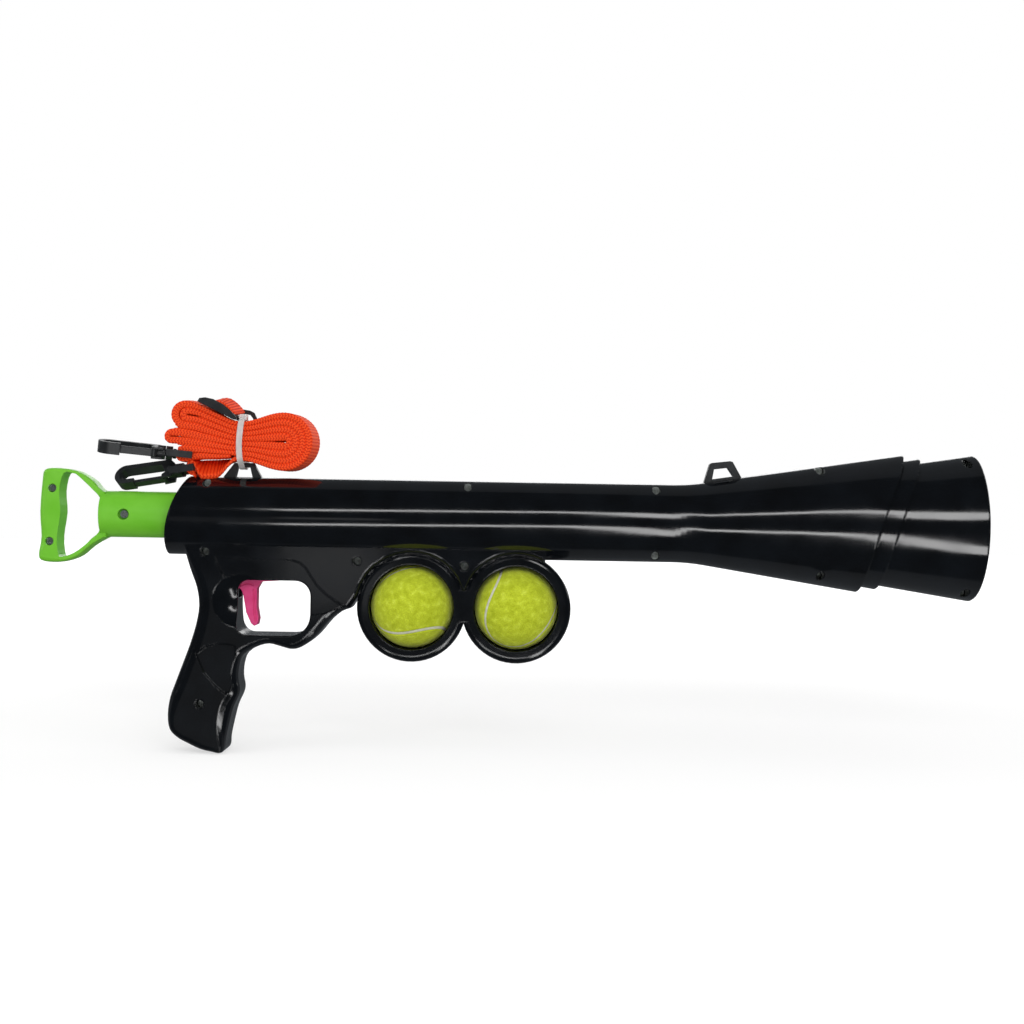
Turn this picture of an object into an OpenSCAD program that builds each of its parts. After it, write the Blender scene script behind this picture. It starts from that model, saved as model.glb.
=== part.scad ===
// Hand-pumped tennis ball launcher for dogs.
// Built on the barrel's axis (+X to the mouth, +Z up), then moved so that the origin is in the grip.

/* [Barrel] */
// Outside diameter of the straight barrel
barrel_d = 59.6; // [58:0.2:61]
// Length on the axis, from the slanted rear end to the rim
barrel_len = 603; // [598:1:610]
// Wall of the moulded shells
wall = 2.8; // [2.5:0.1:3.1]
// Tilt of the rear end
rear_slant = 14.5; // [10:0.5:17]
// Radius of the hollow that the rear end is cut to
rear_bow = 110; // [100:5:140]
// Where the flare leaves the barrel
flare_x = 388; // [385:1:391]
// Half angle of the flare
flare_angle = 9; // [8.5:0.25:9.5]
// Bend between the barrel and the flare
flare_bend = 160; // [120:10:200]

/* [Collar] */
// How far the slanted collar is behind the rim, on the axis
collar_back = 71; // [65:1:77]
// Tilt of the collar, its top further forward
collar_slant = 17.6; // [14:0.2:20]
// Radius of the cylinder that the collar's edge lies on
collar_bow = 200; // [180:10:240]
// Width of the middle band
band_w = 13.5; // [11:0.5:16]
// Step from the flare down to the band
band_step = 4.6; // [3.6:0.2:5.4]
// Step from the band down to the mouth
mouth_step = 3.2; // [2.6:0.2:4]
// Rounding of the rim
rim_edge = 0.9; // [0.4:0.1:1.2]

/* [Grip] */
// Half thickness of the grip and the ball holder's web
grip_half_w = 20; // [18:0.5:21]
// How far the grip's rounded edge runs in from its side
grip_round = 7; // [5:0.5:8]
// Corner radius of the finger gap
guard_corner = 9; // [6:0.5:12]

/* [Balls] */
// Ball over the felt
ball_d = 63.5; // [62:0.5:65]
// Felt cover
felt_t = 3; // [2:0.5:4]
// Wall of the hollow rubber core
core_t = 3.6; // [3:0.2:5]
// Gap round a ball in its holder
ball_gap = 0.35; // [0.3:0.05:0.5]
// Rear ball's centre along the barrel
ball_x = 178.3; // [177:0.1:180]
// How far the balls' centres are below the barrel's axis
ball_drop = 66.7; // [66:0.1:67.4]
// Distance between the two balls
ball_pitch = 79.2; // [78.4:0.1:80]
// Outside radius of a holder ring
ring_r = 41.3; // [40.4:0.1:42]
// Rounded edge of a holder ring
ring_round = 4; // [3:0.5:5]
// Holder's half thickness
ring_half_w = 17.4; // [17:0.1:18.5]
// Lip that stops a ball on the far side
ball_lip = 4; // [3:0.5:5]

/* [Pump] */
// Outside diameter of the handle's tube
tube_d = 35.2; // [34:0.2:36]
// Wall of the tube
tube_wall = 3.2; // [2.8:0.1:3.6]
// Rear face of the tube
tube_rear = -59; // [-64:1:-56]
// Front end of the tube at rest
tube_front = 185; // [183:1:186]
// Stroke of the pump
stroke = 110; // [107:1:111]
// Rod diameter
rod_d = 18; // [16:0.5:19]
// Piston diameter
piston_d = 34; // [32:0.5:34.5]
// Front of the bumper at rest
bumper_x = 415; // [405:1:415]
// Catch collar over the tube
catch_h = 3.4; // [3:0.1:3.8]
// Half thickness of the D handle
handle_half_w = 10; // [9:0.5:11]
// Running gap of the sliding pieces
slide_gap = 0.4; // [0.3:0.05:0.5]

/* [Main spring] */
// Wire diameter
spring_wire = 2.4; // [2:0.1:2.6]
// Mean radius of the turns
spring_r = 13.7; // [13.4:0.1:14.2]
// Turns
spring_turns = 21; // [16:1:24]

/* [Trigger] */
// Pin diameter
pin_d = 4; // [3:0.5:4]
// Gap round a pin
pin_gap = 0.08; // [0.04:0.01:0.1]
// Half width of the trigger
trigger_half_w = 5.5; // [4.5:0.5:6]

/* [Screws] */
// Shank diameter
screw_d = 3; // [2.6:0.1:3.4]
// Head diameter
screw_head_d = 5.8; // [5.2:0.2:6]
// Head height
screw_head_h = 2.2; // [1.8:0.2:2.6]
// Depth of the head's seat from the middle plane
screw_seat = 9; // [8:0.5:10]
// Boss round a screw
boss_d = 8; // [7.6:0.1:8.4]

/* [Strap] */
// Webbing width
strap_w = 25; // [20:1:28]
// Webbing thickness under the tie
strap_t = 3.2; // [2.6:0.1:3.2]
// Webbing thickness where it is slack, in the folds
slack_t = 4.6; // [3.4:0.1:4.6]
// Step between the layers under the tie
waist_step = 3.8; // [3.7:0.1:4]
// Step between the layers at the fold
fold_step = 5.2; // [4.6:0.1:5.4]

/* [Snap hooks] */
// Bar that the webbing goes round
eye_bar_d = 4; // [3.6:0.2:4.4]
// Thickness of the hook's bent bar
hook_t = 3.8; // [3.4:0.2:4.2]
// Width of the hook's bent bar
hook_w = 9; // [8:0.5:9.5]
// Inside radius of the hook's bend
hook_r = 4.8; // [4.4:0.2:5.2]
// Distance from the eye's bar to the bend's centre
hook_len = 57; // [54:1:60]
// Swivel pin's diameter
swivel_d = 4.8; // [4.4:0.2:5.2]
// Gap round the swivel pin
swivel_gap = 0.1; // [0.06:0.02:0.1]

/* [Hidden] */
$fn = 72;

SHELL = "#101216";
GREEN = "#5cbf1c";
PINK = "#f0357f";
ORANGE = "#ff5217";
HARDWARE = "#17181a";
STEEL = "#c4c8cc";
FELT = "#cfe93a";

barrel_r = barrel_d / 2;
tube_r = tube_d / 2;
rod_r = rod_d / 2;
ball_r = ball_d / 2;
pin_r = pin_d / 2;
screw_r = screw_d / 2;
head_r = screw_head_d / 2;
ball_hole_r = ball_r + ball_gap;
// Where the far side's lip meets the ball
lip_y = sqrt(2 * ball_r * ball_lip - ball_lip * ball_lip) + ball_gap;
// Clear fit of pieces that stay together
seat_gap = 0.06;
// Overlap of a cut past the face that it opens
past = 1;
// Places are [along the barrel, above its axis]: the palm's centre, which is the origin of the part
grip_point = [23, -126];
// Lower rear corner of the finger gap, and its size
guard_gap = [46.5, -89.4];
guard_size = [56, 41.4];
trigger_at = [70, -44];
sear_at = [64, -34];
// Centre of the tied waist of the strap and of its fold
// Places in the hank are given along the barrel and above its top
function over(p) = [p[0], barrel_r + p[1]];
waist_over = [47.4, 27.1];
fold_over = [80.6, 27.2];
waist_at = over(waist_over);
fold_at = over(fold_over);
// Rear end of the solid that the barrel is cut from
blank_x = -16;
collar_x = barrel_len - collar_back;
// Front of the solids behind the collar, past its furthest point
collar_end = collar_x + 48;
piston_x = bumper_x - 16;
piston_t = 10;
bulkhead_x = 196;
bulkhead_t = 4;
washer_t = 1.2;
spring_x0 = bulkhead_x + bulkhead_t + washer_t;
spring_len = piston_x - spring_x0;
catch_t = 7;
// Bay for the trigger and the sear, from and to along the barrel and its floor
bay_x = [43, 92];
bay_floor = -46.5;
bay_half_w = trigger_half_w + 1.2;
// Ring in the flare that a loaded ball stops in: a cone from the stop's hole up to the bore round the ball
seat_x = 440;
seat_len = 10;
seat_r = ball_r + 0.25;
stop_x = 428;
stop_t = 4;
stop_r = 0.87 * ball_r;
// Rear face of the sear's nose, before the tube's end when the pump is pulled
nose_x = tube_front - stroke + 2;
// Screws in the shells: along the barrel and above its axis. Those before the piston stand clear of it.
screw_z = barrel_r - 5.2;
// The one in the flare stands between the front loop's foot and the collar
front_foot_end = 43;
flare_screw_ahead = 3.5;
flare_screw_x = (flare_x + front_foot_end + collar_x) / 2 + flare_screw_ahead;
rim_screw_x = barrel_len - 9;
rim_screw_z = mouth_r(rim_screw_x) - 6.3;
flare_screw_z = flare_r(flare_screw_x) - 3.8;
SHELL_SCREWS = [[22.5, screw_z], [219.5, screw_z], [362, screw_z], [flare_screw_x, flare_screw_z],
  [rim_screw_x, rim_screw_z], [22.5, -screw_z - 2.4], [137.2, -32.4], [ball_x + ball_pitch / 2, -35.2],
  [362, -screw_z], [flare_screw_x, 4.2 - flare_screw_z], [rim_screw_x, -rim_screw_z], [20.5, -142]];
// Screws in the bar of the handle, and the one through the tube and the rod
HANDLE_SCREWS = [[-96, 19], [-97.6, -21.4]];
tube_screw_x = -40;
eye_bar_r = eye_bar_d / 2;
eye_in = strap_w / 2 + 1.7;
eye_arm = 2.6;
eye_half_t = 2.6;
eye_front = 10;
eye_face = 15;
collar_r = 5.4;
collar_len = 6;
gate_at = [24, -6.4];
gate_pin_r = 1.1;
gate_t = 2.6;
cheek = 1.5;
// Eye's place above the barrel's axis, and how each hook is turned: roll, dip and yaw
eyes_over = [[3, 16.2], [11, 6.2]];
EYE_AT = [for (p = eyes_over) over(p)];
HOOK_TURN = [[80, -5, 12], [35, 8, -12]];

function flare_r(x) = barrel_r + (x - flare_x) * tan(flare_angle);
function mouth_r(x) = flare_r(x) - band_step - mouth_step;

// Barrel and flare as [radius, x], drawn in by inset, from x0 to x1
function barrel_line(inset, x0, x1) =
  let(t = flare_bend * tan(flare_angle / 2))
  concat([[barrel_r - inset, x0]],
    [for (a = [0:1.5:flare_angle])
      [barrel_r - inset + flare_bend * (1 - cos(a)), flare_x - t + flare_bend * sin(a)]],
    [[flare_r(x1) - inset, x1]]);

// Smooth curve through the points p[1] to p[last - 1], with n steps between two points
function smooth(p, n) = [for (i = [1:len(p) - 3], k = [0:n - 1])
  let(t = k / n, a = p[i - 1], b = p[i], c = p[i + 1], d = p[i + 2])
  0.5 * (2 * b + (c - a) * t + (2 * a - 5 * b + 4 * c - d) * t * t + (3 * b - a - 3 * c + d) * t * t * t)];
function arc(c, r, a0, a1, n) = [for (k = [0:n]) let(a = a0 + (a1 - a0) * k / n) c + r * [cos(a), sin(a)]];
function ease(t) = let(u = max(0, min(1, t))) u * u * (3 - 2 * u);

module in_hand() translate([-grip_point[0], 0, -grip_point[1]]) children();
module on_side(side) if (side > 0) children(); else mirror([0, 1, 0]) children();
// Turned about the barrel's axis: the left half, or all round
module half_turn(line) rotate([0, 90, 0]) rotate_extrude(angle = 180) polygon(line);
module full_turn(line) rotate([0, 90, 0]) rotate_extrude() polygon(line);
// Cylinder along Y from y0 to y1 at [x, z]
module cross_rod(at, r, y0, y1) translate([at[0], y0, at[1]]) rotate([-90, 0, 0])
  cylinder(r = r, h = y1 - y0);
module x_rod(r, x0, x1) translate([x0, 0, 0]) rotate([0, 90, 0]) cylinder(r = r, h = x1 - x0);
// Plate in the XZ plane from y0 to y1
module plate(points, y0, y1) translate([0, y1, 0]) rotate([90, 0, 0]) linear_extrude(y1 - y0) polygon(points);
module plate_box(x, y, z) translate([x[0], y[0], z[0]]) cube([x[1] - x[0], y[1] - y[0], z[1] - z[0]]);

// Triangles that fill a flat outline, cut off corner by corner
function turn(a, b, c) = (b[0] - a[0]) * (c[1] - a[1]) - (b[1] - a[1]) * (c[0] - a[0]);
function clear_corner(p, left, a, b, c) = turn(p[a], p[b], p[c]) > 0 && len([for (k = left)
  if (k != a && k != b && k != c && turn(p[a], p[b], p[k]) >= 0 && turn(p[b], p[c], p[k]) >= 0
    && turn(p[c], p[a], p[k]) >= 0) k]) == 0;
function next_corner(p, left, i) = let(n = len(left))
  clear_corner(p, left, left[(i + n - 1) % n], left[i], left[(i + 1) % n]) ? i : next_corner(p, left, i + 1);
function fill(p, left) = let(n = len(left), i = n > 3 ? next_corner(p, left, 0) : 1)
  n == 3 ? [left] : concat([[left[(i + n - 1) % n], left[i], left[(i + 1) % n]]],
    fill(p, [for (k = [0:n - 1]) if (k != i) left[k]]));

// Half moulding, from the middle plane out to half_w, whose outer edge is rounded off.
// Each point is [x, z, edge]: edge is how far the rounding runs in there.
module rounded_half(points, half_w, round_y, steps = 3) {
  n = len(points);
  inward = [for (i = [0:n - 1]) let(d = points[(i + 1) % n] - points[(i + n - 1) % n])
    [-d[1], d[0]] / norm([d[0], d[1]])];
  turns = concat([-1], [for (k = [0:steps]) 90 * k / steps]);
  corners = [for (a = turns, i = [0:n - 1]) let(e = a < 0 ? 0 : points[i][2] * (1 - cos(a)))
    [points[i][0] + e * inward[i][0],
      a < 0 ? 0 : half_w - round_y * (1 - sin(a)),
      points[i][1] + e * inward[i][1]]];
  top = (len(turns) - 1) * n;
  sides = [for (k = [0:len(turns) - 2], i = [0:n - 1], q = [0, 1]) let(j = (i + 1) % n, a = k * n, b = a + n)
    q == 0 ? [a + i, b + j, b + i] : [a + i, a + j, b + j]];
  low = fill([for (i = [0:n - 1]) [corners[i][0], corners[i][2]]], [for (i = [0:n - 1]) i]);
  high = fill([for (i = [0:n - 1]) [corners[top + i][0], corners[top + i][2]]], [for (i = [0:n - 1]) i]);
  polyhedron(corners, concat(sides, [for (f = low) [f[2], f[1], f[0]]],
    [for (f = high) f + [top, top, top]]));
}

// Outline of the grip, the guard and the web over the balls, as [x, z, edge]
GRIP_LINE = [[3, -10, 1], [5, -22, 3], [10.6, -40.4, 8], [15.6, -54, 9], [17.6, -67.8, 9], [15.6, -82, 9],
  [11.2, -97.5, 9], [6.2, -111.6, 9], [1.2, -125.5, 9], [-3.1, -138, 8], [-4.7, -150.9, 6],
  [-2.9, -161.6, 4.5], [3, -168, 4.5], [11, -172.4, 5], [21, -176.8, 4.5], [29.6, -178.6, 3.5],
  [35.6, -179.4, 2], [38.7, -176.6, 2], [39.6, -168.4, 5], [41.6, -158, 8], [44.7, -145, 9],
  [48.6, -136, 7], [49.6, -130.2, 7], [48.2, -122.2, 9], [48.8, -113, 8], [52, -104.7, 5],
  [62.1, -98.4, 4], [71.3, -96, 4], [80.5, -98.1, 4], [87.6, -99.8, 4], [93.6, -99, 4],
  [100.2, -95.3, 4.5], [107.9, -88.5, 5], [116.9, -77.6, 5], [125.9, -70.6, 4.5], [135, -67.4, 3],
  [141, -66, 3]];
web_end_x = ball_x + ball_pitch + 0.52 * ring_r;
web_tip_half_w = 1.8;
web_edge = 3;

// The web's rounded edge narrows towards its tip between the balls
function tip_edge(x) = min(web_edge, 0.6 + abs(x) / 4);

function frame_line() =
  let(c1 = [ball_x, -ball_drop], c2 = c1 + [ball_pitch, 0], mid = ball_x + ball_pitch / 2,
    r = ring_r - 0.6,
    tip = acos((ball_pitch / 2 - web_tip_half_w) / r),
    end = acos((web_end_x - c2[0]) / r))
  concat(smooth(GRIP_LINE, 3),
    [for (p = arc(c1, r, 168, tip, 12)) [p[0], p[1], tip_edge(p[0] - mid)]],
    [[mid, c1[1] + r * sin(tip) - 2, tip_edge(0)]],
    [for (p = arc(c2, r, 180 - tip, end + 6, 10)) [p[0], p[1], tip_edge(p[0] - mid)]],
    [[web_end_x, c2[1] + r * sin(end), 1.5], [web_end_x, -19, 1], [7, -19, 1]]);

// Region behind the slanted collar moved forward by d, and the block that cuts away what is before it
module behind(d) translate([collar_x + d, 0, 0]) rotate([0, collar_slant, 0])
  translate([-collar_bow, 0, -150]) cylinder(r = collar_bow, h = 300);
module front_block(d) difference() {
  plate_box([collar_x - 50, collar_end + 12], [-80, 80], [-80, 80]);
  behind(d);
}
module rear_cut() rotate([0, rear_slant, 0]) translate([-rear_bow, 0, -80]) cylinder(r = rear_bow, h = 160);

// Outside of the left half's barrel, flare, band and mouth
module barrel_outside() {
  band_x0 = collar_x - 40;
  mouth_x0 = collar_x - 50;
  difference() {
    half_turn(concat(barrel_line(0, blank_x, collar_end), [[0, collar_end], [0, blank_x]]));
    rear_cut();
    front_block(0);
  }
  difference() {
    half_turn([[0, band_x0], [flare_r(band_x0) - band_step, band_x0],
      [flare_r(collar_end) - band_step, collar_end], [0, collar_end]]);
    front_block(band_w);
  }
  half_turn([[0, mouth_x0], [mouth_r(mouth_x0), mouth_x0],
    [mouth_r(barrel_len) - rim_edge / 3, barrel_len - rim_edge],
    [mouth_r(barrel_len) - rim_edge, barrel_len], [0, barrel_len]]);
}

module ring_wall(x, t, hole_r) full_turn([[hole_r, x], [barrel_r - wall / 2, x],
  [barrel_r - wall / 2, x + t], [hole_r, x + t]]);

// Hollow of the barrel and the mouth, less the ribs and screw bosses that stand in it
module barrel_hollow() {
  mouth_x0 = collar_x - 45;
  difference() {
    union() {
      difference() {
        full_turn(concat(barrel_line(wall, blank_x - past, collar_end),
          [[0, collar_end], [0, blank_x - past]]));
        front_block(-wall);
      }
      full_turn([[0, mouth_x0], [mouth_r(mouth_x0) - wall, mouth_x0],
        [mouth_r(barrel_len + past) - wall, barrel_len + past], [0, barrel_len + past]]);
    }
    ring_wall(10, 3, tube_r + slide_gap);
    ring_wall(57, 4, tube_r + slide_gap);
    ring_wall(bulkhead_x, bulkhead_t, rod_r + slide_gap);
    full_turn([[stop_r, stop_x], [flare_r(stop_x) - wall / 2, stop_x],
      [flare_r(seat_x + seat_len) - wall / 2, seat_x + seat_len], [seat_r, seat_x + seat_len],
      [seat_r, seat_x], [stop_r, stop_x + stop_t]]);
    for (s = SHELL_SCREWS) cross_rod(s, boss_d / 2, -past, barrel_len / 8);
    for (foot = [REAR_FOOT, FRONT_FOOT]) plate(grown(foot, foot_wall), -foot_half_w, foot_half_w);
  }
}

// Ring round a ball, on the left side
module ball_ring(at) translate([at[0], 0, at[1]]) rotate([-90, 0, 0])
  rotate_extrude() polygon(concat([[0, 0], [ring_r, 0]],
    arc([ring_r - ring_round, ring_half_w - ring_round], ring_round, 0, 90, 4), [[0, ring_half_w]]));

ball_at = [[ball_x, -ball_drop], [ball_x + ball_pitch, -ball_drop]];

module finger_gap() {
  c = guard_corner;
  p = guard_gap;
  q = guard_gap + guard_size;
  // The front corners are rounder than the rear ones
  top = 1.3 * c;
  low = 1.7 * c;
  plate(concat(arc([q[0] - top, q[1] - top], top, 0, 90, 8), arc([p[0] + c, q[1] - c], c, 90, 180, 6),
    arc([p[0] + c, p[1] + c], c, 180, 270, 6), arc([q[0] - low, p[1] + low], low, 270, 360, 8)),
    -grip_half_w - past, grip_half_w + past);
}

// Hollow inside the grip
GRIP_HOLLOW = [[18, -100], [41, -104], [40, -130], [36, -150], [33, -172], [12, -166], [1, -156], [3, -140],
  [11, -116]];

// Shallow thumb relief on the grip's side, and the lowered face over and before the finger gap
RELIEF = [[17, -104], [24, -98.6], [33, -96.2], [42, -96.6], [46.6, -98], [46.6, -112], [46, -124],
  [43, -132.5], [39, -133.6], [31, -127], [23.4, -118.2]];
relief_depth = 1.2;
// Dish behind the finger gap, part of a ball whose centre is outside the grip's face
dish_at = guard_gap + [2.8, 26];
dish_r = 29;
dish_out = 20.6;
GUARD_FACE = [[30, -31.6], [88, -32.4], [94, -34.2], [98.6, -38], [103, -45], [107.5, -51.5], [114, -57.6],
  [121, -62.6], [127, -66.4], [114, -72], [100, -74], [90, -60], [50, -60], [36, -44]];
guard_face_depth = 0.9;

module half_shell() {
  mid = ball_x + ball_pitch / 2;
  difference() {
    union() {
      barrel_outside();
      rounded_half(frame_line(), grip_half_w, grip_round);
      for (b = ball_at) ball_ring(b);
      plate_box([mid - 7, mid + 7], [0, ring_half_w], [-ball_drop - 11, -ball_drop + 14]);
    }
    difference() {
      barrel_hollow();
      // The web's top closes the hollow's slot over the bay's ends
      plate_box([bay_x[0] - 6, bay_x[0]], [0, bay_half_w], [-barrel_r, -barrel_r + wall]);
    }
    difference() {
      plate(GRIP_HOLLOW, -past, grip_half_w - wall);
      cross_rod(SHELL_SCREWS[11], boss_d / 2, -2 * past, grip_half_w);
    }
    plate_box(bay_x, [-past, bay_half_w], [bay_floor, -barrel_r + wall + 2]);
    plate_box([bay_x[0] - 2, 79], [-past, bay_half_w], [-62, bay_floor + past]);
    finger_gap();
    translate([dish_at[0], grip_half_w + dish_out, dish_at[1]]) sphere(r = dish_r);
    plate(RELIEF, grip_half_w - relief_depth, grip_half_w + past);
    plate(GUARD_FACE, grip_half_w - guard_face_depth, grip_half_w + past);
    for (p = [trigger_at, sear_at]) cross_rod(p, pin_r + seat_gap, -past, 15);
    sling_slot(REAR_LOOP, REAR_FOOT);
    sling_slot(FRONT_LOOP, FRONT_FOOT);
    for (b = ball_at) cross_rod(b, ball_hole_r, -past, lip_y);
  }
}

module right_shell() color(SHELL) in_hand() mirror([0, 1, 0]) difference() {
  half_shell();
  for (s = SHELL_SCREWS) {
    cross_rod(s, screw_r + 0.15, -past, screw_seat);
    cross_rod(s, head_r + 0.3, screw_seat, 60);
  }
  for (b = ball_at) cross_rod(b, ball_hole_r, -past, 40);
}

module left_shell() color(SHELL) in_hand() difference() {
  half_shell();
  for (s = SHELL_SCREWS) cross_rod(s, screw_r + seat_gap, -past, screw_seat + 1);
  for (b = ball_at) cross_rod(b, ball_r - ball_lip, -past, 40);
}

module screw(at, y_seat, y_tip) {
  difference() {
    cross_rod(at, head_r, y_seat - screw_head_h, y_seat);
    for (a = [0, 90]) translate([at[0], y_seat - screw_head_h, at[1]]) rotate([0, a, 0])
      cube([3.4, 2, 0.8], center = true);
  }
  cross_rod(at, screw_r, y_seat, y_tip);
}

module shell_screws() color(STEEL) in_hand() for (s = SHELL_SCREWS) screw(s, -screw_seat, screw_seat);

// Sling loops: each stands on a foot that the two shells close on.
// A foot's corners are rear low, front low, front high and rear high.
loop_half_w = 3.5;
foot_wall = 2;
foot_half_w = loop_half_w + foot_wall;
// Points of the rear one are above the barrel, and those of the front one along and above the flare.
function on_barrel(list) = [for (p = list) over(p)];
function on_flare(list) = [for (p = list) [flare_x + p[0], flare_r(flare_x + p[0]) + p[1]]];
REAR_LOOP = on_barrel([[31.4, -3.8], [31.4, -1.8], [41, 10.8], [55.4, 10.8], [62.4, -1.4], [62.4, -3.8]]);
REAR_EYE = on_barrel([[41.8, 0], [43.4, 7.4], [53, 7.4], [54.8, 0]]);
REAR_FOOT = on_barrel([[29, -wall - 3.4], [64.6, -wall - 3.4], [64.6, -wall - 0.2], [29, -wall - 0.2]]);
FRONT_LOOP = on_flare([[11.2, -3], [11.2, -0.6], [15.5, 13.4], [17, 14.1], [31, 13.5], [33, 12.6],
  [41.3, -3.3], [41.3, -4.3]]);
FRONT_EYE = on_flare([[17.5, 1.6], [18.8, 9], [29.2, 8.6], [33.6, 1.5]]);
FRONT_FOOT = on_flare([[9, -wall - 2], [front_foot_end, -wall - 2], [front_foot_end, -wall + 0.4],
  [9, -wall + 0.4]]);

function grown(foot, g) = [foot[0] + [-g, -g], foot[1] + [g, -g], foot[2] + [g, g], foot[3] + [-g, g]];
function widened(loop, g) = let(mid = (loop[0][0] + loop[len(loop) - 1][0]) / 2)
  [for (p = loop) p + [p[0] < mid ? -g : g, 0]];

module sling_slot(loop, foot) {
  w = loop_half_w + seat_gap;
  plate(widened(loop, seat_gap), -past, w);
  plate(grown(foot, seat_gap), -past, w);
}

module sling_loop(loop, eye, foot) difference() {
  union() {
    plate(loop, -loop_half_w, loop_half_w);
    plate(foot, -loop_half_w, loop_half_w);
  }
  plate(eye, -loop_half_w - past, loop_half_w + past);
}

module rear_sling_loop() color(HARDWARE) in_hand() sling_loop(REAR_LOOP, REAR_EYE, REAR_FOOT);
module front_sling_loop() color("#2b2d31") in_hand() sling_loop(FRONT_LOOP, FRONT_EYE, FRONT_FOOT);

// Outline of the D handle as [x, z, edge], and the gap for the fingers
HANDLE_LINE = [[-48, 15, 1], [-55.8, 16.7, 1], [-60.9, 19.8, 1], [-65.5, 25.2, 1.2], [-75.1, 31.1, 1.2],
  [-84, 33.6, 1.5], [-95, 34.4, 3], [-102.6, 33, 3], [-104.6, 25.8, 5], [-106.1, 1.3, 5], [-104.8, -17.8, 5],
  [-106.4, -30.1, 4], [-104.6, -36, 3], [-95, -37.4, 3], [-85.6, -36.4, 1.5], [-75.4, -32.3, 1.2],
  [-66.9, -25, 1.2], [-58.1, -19.4, 1], [-52, -16.6, 1], [-46, -14, 1]];
HANDLE_GAP = [[-80, 30.4], [-87.5, 30.4], [-90.6, 16.8], [-89.5, 0.8], [-91.8, -17.6], [-90.4, -31.6],
  [-87, -33], [-78.5, -29.8], [-70.4, -23.8], [-65.5, -18.9], [-60.5, -14.4], [-59, -8],
  [-59, 8], [-60.5, 13.4], [-65.4, 18.4], [-69.1, 22], [-76.5, 28.6], [-80, 30.4], [-87.5, 30.4],
  [-90.6, 16.8]];

module half_handle() {
  r_in = tube_r - tube_wall;
  difference() {
    union() {
      half_turn([[0, tube_rear], [tube_r, tube_rear], [tube_r, tube_front - catch_t],
        [tube_r + catch_h, tube_front - catch_t + 1.2], [tube_r + catch_h, tube_front], [0, tube_front]]);
      rounded_half(smooth(HANDLE_LINE, 3), handle_half_w, 5);
    }
    difference() {
      full_turn([[0, tube_rear + 4], [r_in, tube_rear + 4], [r_in, tube_front - 6], [0, tube_front - 6]]);
      cross_rod([tube_screw_x, 0], boss_d / 2 + 1, -past, tube_r);
      plate_box([-20, -17], [-past, tube_r], [-tube_r, tube_r]);
      plate_box([90, 93], [-past, tube_r], [-tube_r, tube_r]);
    }
    x_rod(rod_r + seat_gap, tube_rear + 4, tube_front + past);
    plate(smooth(HANDLE_GAP, 3), -past, handle_half_w + past);
  }
}

module handle_right_half() color(GREEN) in_hand() mirror([0, 1, 0]) difference() {
  half_handle();
  for (s = HANDLE_SCREWS) {
    cross_rod(s, screw_r + 0.15, -past, handle_half_w);
    cross_rod(s, head_r + 0.3, handle_half_w / 2, handle_half_w + past);
  }
  cross_rod([tube_screw_x, 0], screw_r + 0.15, -past, tube_r);
  cross_rod([tube_screw_x, 0], 4.2, rod_r + 3.4, tube_r + past);
}

module handle_left_half() color(GREEN) in_hand() difference() {
  half_handle();
  for (s = HANDLE_SCREWS) cross_rod(s, screw_r + seat_gap, -past, handle_half_w - 2);
  cross_rod([tube_screw_x, 0], screw_r + seat_gap, -past, rod_r + 4);
}

module handle_screws() color(STEEL) in_hand() {
  for (s = HANDLE_SCREWS) screw(s, -handle_half_w / 2, handle_half_w - 2.2);
  screw([tube_screw_x, 0], -rod_r - 3.4, rod_r + 3.8);
}

module plunger_rod() color("#d9dce0") in_hand() difference() {
  x_rod(rod_r, tube_rear + 4.2, piston_x + 6);
  cross_rod([tube_screw_x, 0], screw_r + seat_gap, -rod_r - past, rod_r + past);
}

module piston_head() color("#2c3036") in_hand() difference() {
  union() {
    x_rod(piston_d / 2, piston_x, piston_x + piston_t);
    x_rod(rod_r + 2, piston_x - 10, piston_x + past);
  }
  x_rod(rod_r + seat_gap, piston_x - 11, piston_x + 6);
}

module bumper_pad() color("#3a3d40") in_hand() {
  r = piston_d / 2 - 1;
  x0 = piston_x + piston_t;
  full_turn([[0, x0], [r, x0], [r, bumper_x - 2], [r - 2, bumper_x], [0, bumper_x]]);
}

module spring_washer() color(STEEL) in_hand() full_turn([[rod_r + slide_gap, bulkhead_x + bulkhead_t],
  [rod_r + 8, bulkhead_x + bulkhead_t], [rod_r + 8, spring_x0], [rod_r + slide_gap, spring_x0]]);

// Tube of six sides along a line of points, closed at both ends
module tube_along(points, r, sides = 6) {
  n = len(points);
  along = [for (i = [0:n - 1]) let(d = points[min(i + 1, n - 1)] - points[max(i - 1, 0)]) d / norm(d)];
  out = [for (i = [0:n - 1]) let(d = cross(along[i], [0.31, 0.22, 0.92])) d / norm(d)];
  corners = [for (i = [0:n - 1], k = [0:sides - 1]) let(a = 360 * k / sides, b = cross(along[i], out[i]))
    points[i] + r * (cos(a) * out[i] + sin(a) * b)];
  skin = [for (i = [0:n - 2], k = [0:sides - 1], q = [0, 1])
    let(a = i * sides + k, b = i * sides + (k + 1) % sides)
    q == 0 ? [a, a + sides, b + sides] : [a, b + sides, b]];
  ends = concat([for (k = [1:sides - 2]) [0, k, k + 1]],
    [for (k = [1:sides - 2]) [(n - 1) * sides, (n - 1) * sides + k + 1, (n - 1) * sides + k]]);
  polyhedron(corners, concat(skin, ends));
}

// Points of a helix along X, eight to a turn
function helix(r, len, turns) = [for (k = [0:8 * turns]) let(a = 45 * k)
  [len * k / (8 * turns), r * cos(a), r * sin(a)]];

module main_spring() color(STEEL) in_hand() {
  r = spring_wire / 2 * 1.08;
  turned = helix(spring_r, spring_len - 2 * r - 0.6, spring_turns);
  tube_along([for (p = turned) [p[0] + spring_x0 + r + 0.3, p[1], p[2]]], spring_wire / 2);
}

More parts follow.
